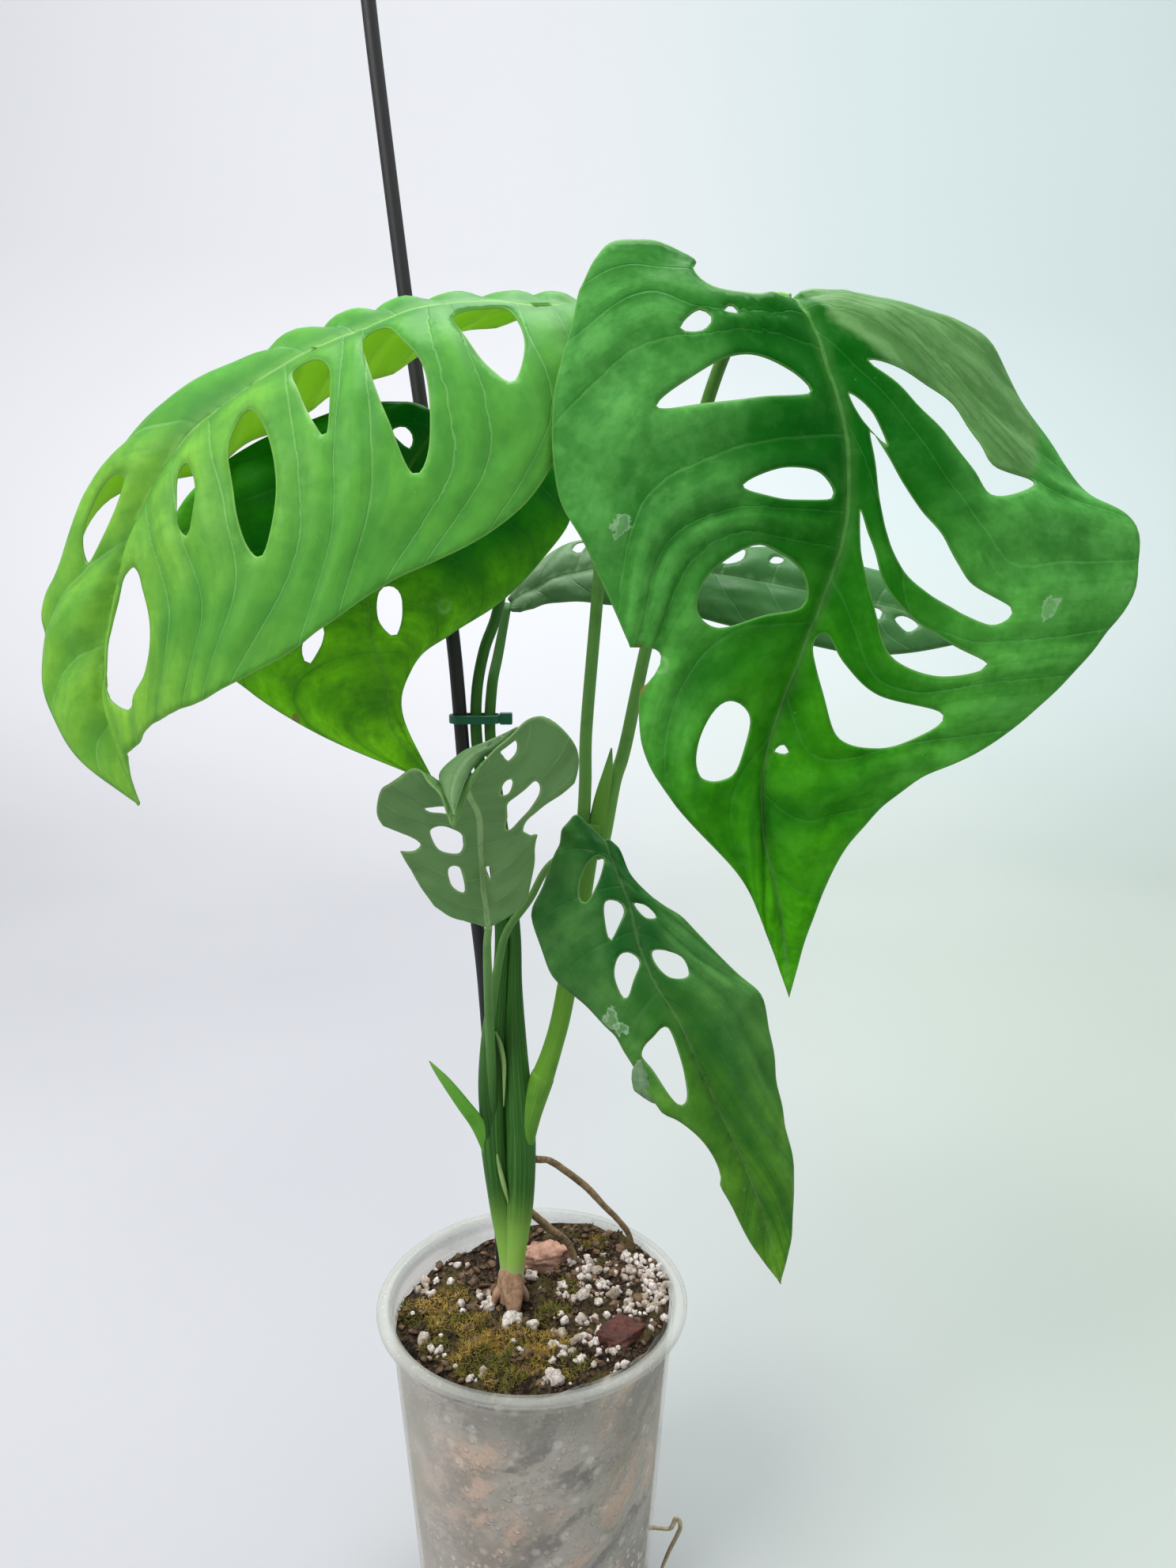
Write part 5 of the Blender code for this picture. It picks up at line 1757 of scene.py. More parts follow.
@dataclass
class Studio:
    """The pale floor and backdrop, the soft light and the camera."""

    camera_place: Triple = (0.0215, -0.406, 0.430)
    camera_tilt: float = 77.8
    lens: float = 36.0 * 1489.0 / 1983.0
    back: float = 2.6
    half_width: float = 4.0

    def backdrop(self) -> None:
        """Makes the floor that curves up behind the plant, with painted shade on the ground and a painted
        green reflection to the right.
        """
        shader = Shader("pale_backdrop")
        x, y, _ = shader.split(shader.place())
        mist = shader.noise(1.2, 2.0)
        # painted reflection: the wall turns pale green towards the right, as the plant's green thrown onto
        # it
        wall = shader.layered((0.82, 0.82, 0.85), (x.step(-0.3, 0.9), (0.72, 0.82, 0.82)))
        # painted shade: the ground is painted far darker than the wall to even out the lamps' light, and
        # pale green to the right as a painted reflection
        painted_ground_colour = shader.layered((0.358, 0.362, 0.386), (x.step(-0.2, 0.4), (0.342, 0.390, 0.356)))
        colour = shader.layered(
            painted_ground_colour,
            (y.step(0.6, 2.6), wall),
            (mist.step(0.3, 0.7) * 0.06, (1.0, 1.0, 1.0)),
        )
        skin = shader.principled(Base_Color=colour, Roughness=mist * 0.1 + 0.8, Specular_IOR_Level=0.1)
        bm = bmesh.new()
        wide = self.half_width
        line = [bm.verts.new((-wide, y, z)) for y, z in ((-2.0, 0.0), (self.back, 0.0), (self.back, 3.5))]
        edges = [bm.edges.new(pair) for pair in zip(line, line[1:])]
        grown = bmesh.ops.extrude_edge_only(bm, edges=edges)["geom"]
        bmesh.ops.translate(bm, vec=(2 * wide, 0, 0), verts=only(grown, bmesh.types.BMVert))
        fold = [edge for edge in bm.edges if all(v.co.z < 0.01 and v.co.y > 0 for v in edge.verts)]
        fold = [edge for edge in fold if abs(edge.verts[0].co.x - edge.verts[1].co.x) > 1]
        rounding = {"affect": "EDGES", "segments": 24, "profile": 0.5, "material": -1}
        bmesh.ops.bevel(bm, geom=fold, offset=1.6, offset_type="OFFSET", **rounding)
        bmesh.ops.scale(bm, vec=(1 / MM, 1 / MM, 1 / MM), verts=bm.verts)
        bmesh.ops.recalc_face_normals(bm, faces=bm.faces[:])
        finished(bm, "backdrop", [shader.done(skin)])

    def light(
        self, name: str, place: Triple, aim: Triple, size: float, power: float, colour: Triple
    ) -> None:
        """Adds a square soft light.

        Args:
            name: Its name.
            place: Where it hangs, in metres.
            aim: What it faces, in metres.
            size: Its side, in metres.
            power: Its power, in watts.
            colour: Its colour.
        """
        lamp = bpy.data.lights.new(name, "AREA")
        lamp.size = size
        lamp.energy = power
        lamp.color = colour
        made = bpy.data.objects.new(name, lamp)
        made.location = place
        made.rotation_euler = (Vector(aim) - Vector(place)).to_track_quat("-Z", "Y").to_euler()
        bpy.context.scene.collection.objects.link(made)

    def build(self) -> None:
        """Sets the stage."""
        scene = bpy.context.scene
        self.backdrop()
        self.light("key", (-1.0, -0.9, 1.7), (0.0, 0.0, 0.40), 0.9, 30.0, (1.0, 0.99, 0.97))
        self.light("fill", (1.5, -0.9, 0.9), (0.0, 0.0, 0.35), 1.6, 5.0, (0.94, 0.98, 1.0))
        self.light("top", (0.1, 0.5, 1.7), (0.0, 0.0, 0.3), 1.0, 27.0, (1.0, 1.0, 1.0))
        self.light("wall", (0.0, 0.9, 2.4), (0.0, 2.6, 1.0), 3.0, 19.0, (1.0, 1.0, 1.0))
        world = bpy.data.worlds.new("studio")
        world.use_nodes = True
        air = world.node_tree.nodes["Background"]
        air.inputs["Color"].default_value = (0.95, 0.98, 1.0, 1.0)
        air.inputs["Strength"].default_value = 0.62
        scene.world = world
        scene.view_settings.view_transform = "Standard"
        lens = bpy.data.cameras.new("camera")
        lens.sensor_fit = "VERTICAL"
        lens.sensor_height = 36.0
        lens.lens = self.lens
        camera = bpy.data.objects.new("camera", lens)
        camera.location = self.camera_place
        camera.rotation_euler = (math.radians(self.camera_tilt), 0.0, 0.0)
        scene.collection.objects.link(camera)
        scene.camera = camera


# This plant's own shapes

# leaf A: its under colour is a bright yellow-green painted glow, for light coming through the blade's back
# half
BRIGHT = LeafFinish(
    deep=(0.034, 0.190, 0.046), bright=(0.128, 0.420, 0.068), tip=(0.31, 0.60, 0.075),
    vein=(0.32, 0.62, 0.22), rib=(0.32, 0.58, 0.18), under=(0.50, 0.76, 0.07), glow=(0.50, 0.85, 0.04),
    through=0.34, margin=0.90, rib_part=0.55, painted_shade_width=9.0, stains=0.30, length=251.0,
)
DEEP = LeafFinish(
    deep=(0.0, 0.095, 0.002), bright=(0.118, 0.415, 0.088), tip=(0.100, 0.520, 0.004),
    vein=(0.13, 0.40, 0.10), gloss=0.04, rib=(0.16, 0.40, 0.10), under=(0.050, 0.165, 0.032),
    pale=(0.125, 0.275, 0.090), glow=(0.10, 0.45, 0.02), through=0.12, margin=0.55, rib_part=0.42,
    painted_shade_width=60.0, patches=19.0, length=229.0, tip_from=0.68,
    scars=((94.0, -58.0, 2.6), (98.0, -56.0, 2.0), (88.0, -61.0, 1.6)),
    scratches=((86.0, 64.0, 3.0), (61.0, -69.0, 3.2)),
)
# leaf C: a wide painted shade over its middle, and a bright tip colour painted as glow at its tip and margin
SHADED = LeafFinish(
    deep=(0.002, 0.095, 0.012), bright=(0.022, 0.250, 0.010), tip=(0.270, 0.790, 0.015), gloss=0.04,
    vein=(0.06, 0.24, 0.03), rib=(0.16, 0.36, 0.08), under=(0.06, 0.20, 0.02), glow=(0.08, 0.50, 0.02),
    through=0.12, margin=0.85, rib_part=0.25, painted_shade_width=30.0, length=134.0, tip_from=0.62, patches=20.0,
    scars=((104.0, -31.0, 1.6),),
)
YOUNG = LeafFinish(
    deep=(0.070, 0.185, 0.052), bright=(0.145, 0.300, 0.095), tip=(0.14, 0.32, 0.07),
    vein=(0.18, 0.34, 0.12), rib=(0.34, 0.52, 0.22), under=(0.160, 0.300, 0.115), length=85.0,
)
BLUE = LeafFinish(
    deep=(0.008, 0.084, 0.012), bright=(0.078, 0.225, 0.052), tip=(0.160, 0.400, 0.016), gloss=0.07,
    margin=0.5, vein=(0.06, 0.18, 0.05), rib=(0.18, 0.34, 0.12), under=(0.12, 0.24, 0.12),
    glow=(0.14, 0.42, 0.03), through=0.10, length=166.0, rib_part=0.20, tip_from=0.84, patches=28.0,
    scratches=((53.0, -18.0, 3.5), (57.0, -17.0, 2.5)),
)
FOLD = LeafFinish(
    deep=(0.13, 0.24, 0.12), bright=(0.19, 0.32, 0.17), tip=(0.19, 0.32, 0.17), vein=(0.25, 0.38, 0.2),
    rib=(0.30, 0.42, 0.25), under=(0.03, 0.12, 0.04), length=24.0, margin=0.0,
)
CURL = LeafFinish(
    deep=(0.14, 0.27, 0.11), bright=(0.24, 0.40, 0.19), tip=(0.20, 0.38, 0.12), vein=(0.28, 0.42, 0.2),
    rib=(0.40, 0.55, 0.30), under=(0.16, 0.30, 0.12), length=60.0,
)
GREY = LeafFinish(
    deep=(0.020, 0.112, 0.022), bright=(0.052, 0.170, 0.046), tip=(0.09, 0.21, 0.08),
    vein=(0.12, 0.25, 0.12), rib=(0.22, 0.36, 0.17), under=(0.11, 0.21, 0.11), length=200.0,
    foot=(0.25, 0.40, 0.22), foot_to=0.45, foot_part=0.85,
)

LEAVES = (
    Leaf(
        "leaf_arching", "leaf_bright", BRIGHT,
        Veins(
            left=leaning(0.3, 0.9, 1.45, 2.0, 2.5, 3.0, 3.7, 4.9, 6.2, 7.2, 8.2),
            right=(
                (0.45, 0.38, 0.30, 0.25, 0.35), (0.95, 0.75, 0.58, 0.52, 0.75),
                (1.32, 1.16, 0.92, 0.85, 1.30), (1.95, 1.72, 1.48, 1.38, 1.70),
                (2.15, 1.95, 1.72, 1.62, 1.98), (2.90, 2.62, 2.38, 2.26, 2.45),
                (3.10, 2.92, 2.80, 2.66, 2.95), (3.95, 3.60, 3.26, 3.14, 3.80),
                (4.78, 4.50, 4.15, 3.88, 4.30), (5.10, 5.00, 4.72, 4.38, 4.80),
                (5.75, 5.46, 5.12, 4.96, 5.80), (6.60, 6.30, 6.20, 6.40, 6.90),
                (7.50, 7.50, 7.55, 7.65, 7.90), (8.30, 8.35, 8.40, 8.45, 8.60),
            ),
        ),
        cuts=(
            ((28, -26, 497), (22, -16, 498), (30, -40, 488)),
            ((9, -32, 496), (-16, 2, 494), (4, -70, 437), (4, 8)),
            ((-21, -40, 495), (-45, 6, 481), (-34, -86, 415), (7, 12)),
            ((-46, -46, 486), (-72, 6, 470), (-57, -90, 399), (10, 12)),
            ((-66, -52, 476), (-98, -2, 453), (-79, -90, 387), (12, 10)),
            ((-92, -56, 457), (-130, -24, 438), (-92, -84, 381), (10, 9)),
            ((-108, -58, 433), (-145, -36, 410), (-102, -76, 376), (5, 6)),
            ((-119, -58, 402), (-145, -46, 393), (-111, -68, 368), (4, 3)),
            ((-122, -58, 379), (-138, -52, 366), (-116, -62, 362), (2, 1)),
            ((-115, -58, 348),),
        ),
        base_left=((0, 0), (0.0, -0.6), (0.2, -1)),
        holes=(
            ((5.9, 0.30), (5.5, 0.52), (5.5, 0.70), (6.0, 0.80), (6.8, 0.76), (7.5, 0.28), (6.85, 0.14)),
            ((4.86, 0.18), (4.62, 0.34), (4.64, 0.48), (4.84, 0.41), (4.97, 0.22)),
            ((4.22, 0.14), (3.84, 0.29), (3.55, 0.50), (3.56, 0.68), (3.82, 0.62), (4.09, 0.45),
             (4.31, 0.25)),
            ((3.75, 0.08), (3.45, 0.08), (3.13, 0.18), (2.95, 0.42), (3.20, 0.35), (3.55, 0.19)),
            ((2.80, 0.09), (2.57, 0.07), (2.25, 0.20), (1.97, 0.36), (1.82, 0.62), (1.90, 0.70),
             (2.20, 0.50), (2.52, 0.29)),
            ((1.85, 0.10), (1.60, 0.06), (1.37, 0.07), (1.21, 0.26), (1.25, 0.45), (1.45, 0.39),
             (1.66, 0.26)),
            ((3.58, -0.44), (3.36, -0.41), (3.16, -0.49), (3.30, -0.62)),
            ((4.46, -0.58), (4.24, -0.62), (4.14, -0.76), (4.34, -0.74)),
            ((5.50, -0.18), (5.94, -0.22), (6.20, -0.36), (5.90, -0.44), (5.45, -0.40)),
        ),
        quilt=(3.4, 1.0), ripple=(1.0, 0.6), pucker=1.0,
    ),
    Leaf(
        "leaf_hanging", "leaf_deep", DEEP,
        Veins(
            left=(
                (0.30, 0.45, 0.50, 0.30, 0.60), (0.95, 1.25, 1.20, 0.90, 1.40),
                (1.62, 1.48, 1.54, 1.63, 2.30), (3.03, 2.98, 3.05, 3.43, 4.90),
                (4.15, 3.92, 3.76, 4.15, 5.65), (5.05, 4.47, 4.10, 4.72, 6.30),
                (6.50, 6.12, 5.92, 6.40, 8.00), (7.92, 8.08, 8.37, 8.78, 9.30),
                (9.20, 9.35, 9.55, 9.80, 10.1), (10.3, 10.35, 10.4, 10.5, 10.6),
            ),
            right=(
                (0.05, 0.25, 0.60, 1.10, 1.80), (0.30, 0.60, 1.30, 2.30, 2.90),
                (0.55, 0.95, 1.90, 3.30, 3.90), (1.20, 2.65, 4.75, 4.70, 4.50),
                (2.60, 5.65, 6.12, 5.95, 5.55), (5.60, 6.82, 6.95, 6.50, 6.20),
                (7.50, 7.95, 7.90, 7.40, 6.90), (8.60, 8.80, 8.80, 8.60, 8.40),
                (9.50, 9.60, 9.70, 9.70, 9.70), (10.4, 10.4, 10.4, 10.4, 10.4),
            ),
        ),
        cuts=(
            ((82, -35, 497), (20, -50, 507), (110, -22, 499), (4, 3)),
            ((86, -42, 490), (18, -56, 490), (139, -26, 490), (8, 4)),
            ((91, -48, 475), (12, -62, 466), (157, -30, 465), (9, 5)),
            ((96, -52, 457), (13, -66, 441), (171, -38, 443), (9, 6)),
            ((97, -54, 437), (22, -68, 423), (185, -46, 431), (8, 6)),
            ((95, -56, 425), (31, -66, 403), (184, -50, 411), (7, 6)),
            ((90, -58, 410), (36, -62, 389), (170, -54, 392), (6, 5)),
            ((85, -58, 396), (38, -58, 366), (147, -56, 369), (5, 5)),
            ((76, -56, 367), (48, -56, 348), (120, -58, 355), (4, 4)),
            ((75, -54, 342), (69, -54, 324), (102, -56, 336), (2, 3)),
            ((82, -52, 312), (78, -50, 305), (92, -53, 310), (1, 1)),
            ((87, -46, 281),),
        ),
        base_left=(
            (0, 0), (0.55, -0.12), (0.92, -0.25), (0.88, -0.42), (0.5, -0.52), (-0.1, -0.49), (-0.3, -0.57),
            (-0.33, -0.72), (-0.2, -0.87), (0.15, -0.94), (0.7, -1),
        ),
        base_right=((0, 0), (-0.12, 0.15), (0.0, 0.4), (0.15, 0.7), (0.45, 0.93), (0.8, 1)),
        holes=(
            ((1.47, -0.58), (1.22, -0.51), (1.38, -0.46), (1.52, -0.50)),
            ((1.26, -0.41), (1.17, -0.38), (1.30, -0.35)),
            ((2.36, -0.66), (2.08, -0.53), (1.87, -0.38), (1.90, -0.27), (2.16, -0.15), (2.42, -0.12),
             (2.42, -0.30), (2.42, -0.52)),
            ((3.45, -0.42), (3.33, -0.27), (3.48, -0.12), (3.84, -0.07), (3.78, -0.23), (3.65, -0.34)),
            ((4.42, -0.42), (4.75, -0.30), (5.30, -0.18), (5.95, -0.12), (5.83, -0.35), (5.74, -0.58),
             (5.27, -0.68), (4.75, -0.63)),
            ((7.02, -0.56), (7.10, -0.43), (7.60, -0.27), (8.05, -0.38), (7.87, -0.68), (7.40, -0.68)),
            ((8.07, 0.05), (7.96, 0.09), (8.04, 0.14)),
            ((1.81, 0.18), (1.95, 0.35), (2.25, 0.50), (2.75, 0.54), (3.12, 0.56), (3.20, 0.72),
             (3.55, 0.60), (3.68, 0.48), (3.28, 0.45), (2.75, 0.38), (2.19, 0.27)),
            ((2.36, 0.05), (2.62, 0.11), (3.10, 0.14), (2.75, 0.07)),
            ((2.92, 0.09), (3.60, 0.17), (4.50, 0.29), (5.25, 0.42), (5.56, 0.62), (5.84, 0.58),
             (5.60, 0.34), (5.10, 0.18), (4.20, 0.11)),
            ((4.10, 0.04), (4.73, 0.08), (5.54, 0.17), (5.98, 0.32), (6.22, 0.50), (6.36, 0.68),
             (6.66, 0.54), (6.62, 0.32), (6.05, 0.19), (5.10, 0.07)),
            ((6.97, 0.04), (6.66, 0.06), (6.95, 0.17), (7.14, 0.38), (7.04, 0.68), (7.40, 0.70),
             (7.68, 0.60), (7.70, 0.36), (7.32, 0.15)),
        ),
        nicks=((0, 5.5, 6.25, 0.13),),
        quilt=(2.6, 2.0), groove=0.4, pucker=1.1, settles=(0.5, 1.9), fold=(3.1, 0.09, 0.13),
    ),
    Leaf(
        "leaf_drooping", "leaf_shaded", SHADED,
        Veins.even(0.2, 6.4, 6, 1.9),
        cuts=(
            ((-27, 4, 466), (-50, 2, 472), (-7, 8, 463), (3, 3)),
            ((-37, -2, 451), (-76, -2, 463), (10, 14, 453), (6, 6)),
            ((-45, -8, 434), (-101, -4, 450), (16, 16, 437), (7, 7)),
            ((-50, -10, 418), (-117, -6, 431), (9, 14, 424), (7, 7)),
            ((-51, -14, 405), (-115, -10, 411), (-7, 6, 407), (7, 6)),
            ((-49, -18, 393), (-104, -12, 388), (-24, -2, 396), (6, 5)),
            ((-45, -20, 380), (-90, -15, 376), (-36, -12, 387), (4, 3)),
            ((-43, -23, 366), (-66, -22, 363), (-40, -20, 371), (2, 1)),
            ((-29, -26, 348),),
        ),
        base_left=((0, 0), (-0.10, -0.5), (0.10, -0.93), (0.45, -1)),
        holes=(
            ((3.66, 0.06), (3.60, 0.13), (3.95, 0.21), (4.60, 0.25), (4.95, 0.20), (4.45, 0.07)),
            ((4.60, -0.24), (4.96, -0.28), (5.35, -0.42), (4.90, -0.38)),
            ((0.62, -0.31), (0.43, -0.28), (0.54, -0.13), (0.78, -0.09)),
        ),
        spacing=2.2,
    ),
    Leaf(
        "leaf_small", "leaf_young", YOUNG,
        Veins.even(0.5, 6.2, 8, 0.5),
        cuts=(
            ((-12, -28, 299), (-27, -36, 306), (1, -34, 308)),
            ((-13, -33, 314), (-33, -43, 319), (4, -40, 323), (-3, -3)),
            ((-13, -40, 329), (-38, -50, 333), (6, -46, 337), (-3, -3)),
            ((-13, -46, 342), (-43, -56, 345), (15, -40, 348), (-4, -4)),
            ((-15, -53, 350), (-39, -62, 355), (18, -36, 361), (-3, -5)),
            ((-16, -60, 355), (-29, -66, 361), (6, -42, 373), (-2, -4)),
            ((-18, -68, 353), (-22, -71, 355), (-9, -62, 363)),
            ((-18, -71, 344),),
        ),
        base_left=((0, 0), (0.0, -0.4), (0.05, -0.8), (0.3, -1)),
        holes=(
            ((4.02, 0.22), (4.40, 0.28), (4.35, 0.36), (3.95, 0.27)),
            ((2.67, 0.31), (3.55, 0.28), (3.98, 0.42), (4.05, 0.54), (3.40, 0.57), (2.60, 0.43)),
            ((1.58, 0.09), (1.58, 0.21), (1.28, 0.19)),
            ((5.24, 0.76), (5.08, 0.62), (5.10, 0.47), (5.50, 0.70)),
            ((1.64, -0.47), (1.64, -0.31), (1.00, -0.33), (1.15, -0.50)),
            ((2.78, -0.52), (2.92, -0.36), (2.50, -0.20), (2.05, -0.28), (2.15, -0.52)),
            ((3.62, -0.54), (3.82, -0.38), (3.62, -0.20), (3.36, -0.24), (3.42, -0.44)),
        ),
        nicks=((0, 1.9, 2.6, 0.3), (1, 2.0, 3.25, 0.42)),
        spacing=1.4, quilt=(0.7, 0.7), groove=0.5, ripple=(0.6, 0.6),
    ),
    Leaf(
        "leaf_low", "leaf_blue", BLUE,
        Veins(
            left=(
                (0.50, 0.55, 0.60, 0.70, 0.90), (1.46, 1.64, 1.82, 2.01, 2.19),
                (2.69, 2.77, 2.87, 3.01, 3.19), (4.20, 4.30, 4.40, 4.60, 4.80),
                (6.20, 6.30, 6.50, 6.70, 6.90), (7.10, 7.20, 7.40, 7.60, 7.80),
                (7.90, 8.00, 8.20, 8.40, 8.60),
            ),
            right=(
                (0.20, 0.50, 0.90, 1.30, 1.70), (0.75, 1.12, 1.85, 2.15, 2.80),
                (1.70, 2.00, 2.60, 3.40, 4.20), (2.70, 2.85, 3.90, 5.20, 5.80),
                (4.35, 5.20, 6.10, 6.70, 7.10), (5.80, 6.60, 7.20, 7.60, 7.90),
                (7.20, 7.70, 8.10, 8.40, 8.50),
            ),
        ),
        cuts=(
            ((27, -22, 328), (13, -18, 331), (32, -24, 326)),
            ((31, -30, 319), (10, -21, 321), (38, -32, 315), (3, 1)),
            ((35, -36, 310), (3, -27, 303), (53, -38, 305), (5, 2)),
            ((38, -42, 298), (10, -36, 285), (67, -42, 291), (5, 3)),
            ((43, -48, 287), (26, -46, 273), (78, -44, 281), (4, 4)),
            ((51, -53, 275), (34, -55, 265), (82, -46, 264), (3, 4)),
            ((62, -57, 251), (43, -60, 251), (85, -51, 244), (3, 3)),
            ((74, -58, 224), (64, -59, 222), (89, -54, 226), (1, 2)),
            ((81, -57, 203), (75, -58, 200), (89, -56, 201)),
            ((86, -56, 183),),
        ),
        base_left=((0, 0), (-0.35, -0.35), (-0.45, -0.8), (0.1, -1)),
        base_right=((0, 0), (-0.1, 0.5), (0.1, 0.9), (0.35, 1)),
        holes=(
            ((1.93, -0.20), (1.97, -0.08), (2.30, -0.07), (2.76, -0.23), (2.40, -0.24)),
            ((1.98, 0.09), (1.94, 0.30), (2.20, 0.40), (2.31, 0.20)),
            ((3.15, 0.12), (3.05, 0.30), (3.20, 0.42), (3.76, 0.34), (3.86, 0.16), (3.50, 0.09)),
            ((3.17, -0.24), (3.15, -0.10), (3.48, -0.07), (3.90, -0.34), (3.85, -0.47)),
            ((4.93, -0.20), (5.50, -0.27), (5.92, -0.44), (6.00, -0.66), (5.50, -0.74), (5.10, -0.78),
             (4.93, -0.48)),
            ((0.69, -0.26), (0.72, -0.15), (1.31, -0.24), (1.88, -0.36), (1.80, -0.46), (1.18, -0.46)),
        ),
        nicks=((0, 6.15, 7.0, 0.36),),
        spacing=1.6, quilt=(0.9, 0.8), groove=0.8, ripple=(1.4, 0.6), waves=6.3,
    ),
    Leaf(
        "leaf_back", "leaf_grey", GREY,
        Veins.even(0.5, 5.4, 9, 0.5),
        cuts=(
            ((-7, 31, 404), (-4, 26, 400), (-5, 36, 410)),
            ((12, 38, 413), (10, 30, 404), (12, 52, 424), (2, 2)),
            ((40, 48, 416), (40, 34, 402), (42, 74, 426), (3, 4)),
            ((72, 56, 413), (70, 40, 396), (76, 88, 424), (3, 5)),
            ((105, 60, 407), (103, 42, 388), (111, 92, 420), (3, 5)),
            ((140, 62, 400), (136, 46, 383), (148, 86, 411), (2, 3)),
            ((184, 62, 389),),
        ),
        base_left=((0, 0), (-0.10, -0.5), (0.10, -0.93), (0.45, -1)),
        holes=(
            ((1.14, 0.58), (1.20, 0.86), (1.33, 0.80), (1.26, 0.47)),
            ((3.00, 0.16), (3.06, 0.38), (3.25, 0.52), (3.24, 0.22)),
            ((3.57, 0.26), (3.63, 0.46), (3.74, 0.46), (3.70, 0.30)),
            ((4.80, -0.10), (4.92, -0.14), (4.87, -0.38)),
            ((5.05, -0.30), (5.16, -0.14), (5.28, -0.34), (5.18, -0.55)),
        ),
        spacing=2.2, quilt=(1.0, 1.0),
    ),
    Leaf(
        "leaf_low_fold", "leaf_blue", FOLD,
        Veins.even(0.5, 3.5, 4, 0.1),
        cuts=(
            ((38.3, -57.5, 265.2), (37.6, -57.8, 265.0), (38.9, -57.4, 265.2)),
            ((38.0, -58.4, 260.0), (35.6, -57.6, 260.3), (41.2, -57.0, 260.2), (0.6, 0.6)),
            ((39.4, -59.0, 255.2), (36.5, -58.0, 254.4), (43.4, -57.2, 257.2), (0.8, 0.8)),
            ((43.2, -58.8, 251.8), (41.9, -58.2, 250.2), (45.6, -57.4, 253.2), (0.6, 0.6)),
            ((48.2, -57.5, 248.4),),
        ),
        base_left=((0, 0), (0.0, -0.6), (0.1, -1)),
        node="leaf_low", spacing=1.0, quilt=(0.2, 0.2), groove=0.0, ripple=(0.0, 0.0),
    ),
    Leaf(
        "leaf_small_curl", "leaf_young", CURL,
        Veins.even(0.5, 4.5, 4, 0.1),
        cuts=(
            ((0.2, -44.0, 369.5), (0.2, -44.0, 370.2), (0.2, -43.6, 368.2)),
            ((-7.7, -54.0, 366.3), (-8.7, -53.5, 367.4), (-6.4, -52.5, 364.3), (0.3, 0.3)),
            ((-12.9, -62.0, 364.9), (-15.8, -61.0, 365.4), (-11.0, -60.0, 362.3), (0.4, 0.4)),
            ((-16.8, -68.0, 360.5), (-22.0, -66.0, 360.3), (-14.2, -67.0, 358.3), (0.6, 0.4)),
            ((-18.3, -72.0, 354.8), (-21.0, -70.0, 356.0), (-15.9, -71.5, 353.8), (0.5, 0.3)),
            ((-17.4, -74.0, 348.7),),
        ),
        base_left=((0, 0), (0.0, -0.6), (0.1, -1)),
        node="leaf_small", spacing=1.0, quilt=(0.2, 0.2), groove=0.3, ripple=(0.0, 0.0), pucker=0.3,
    ),
)

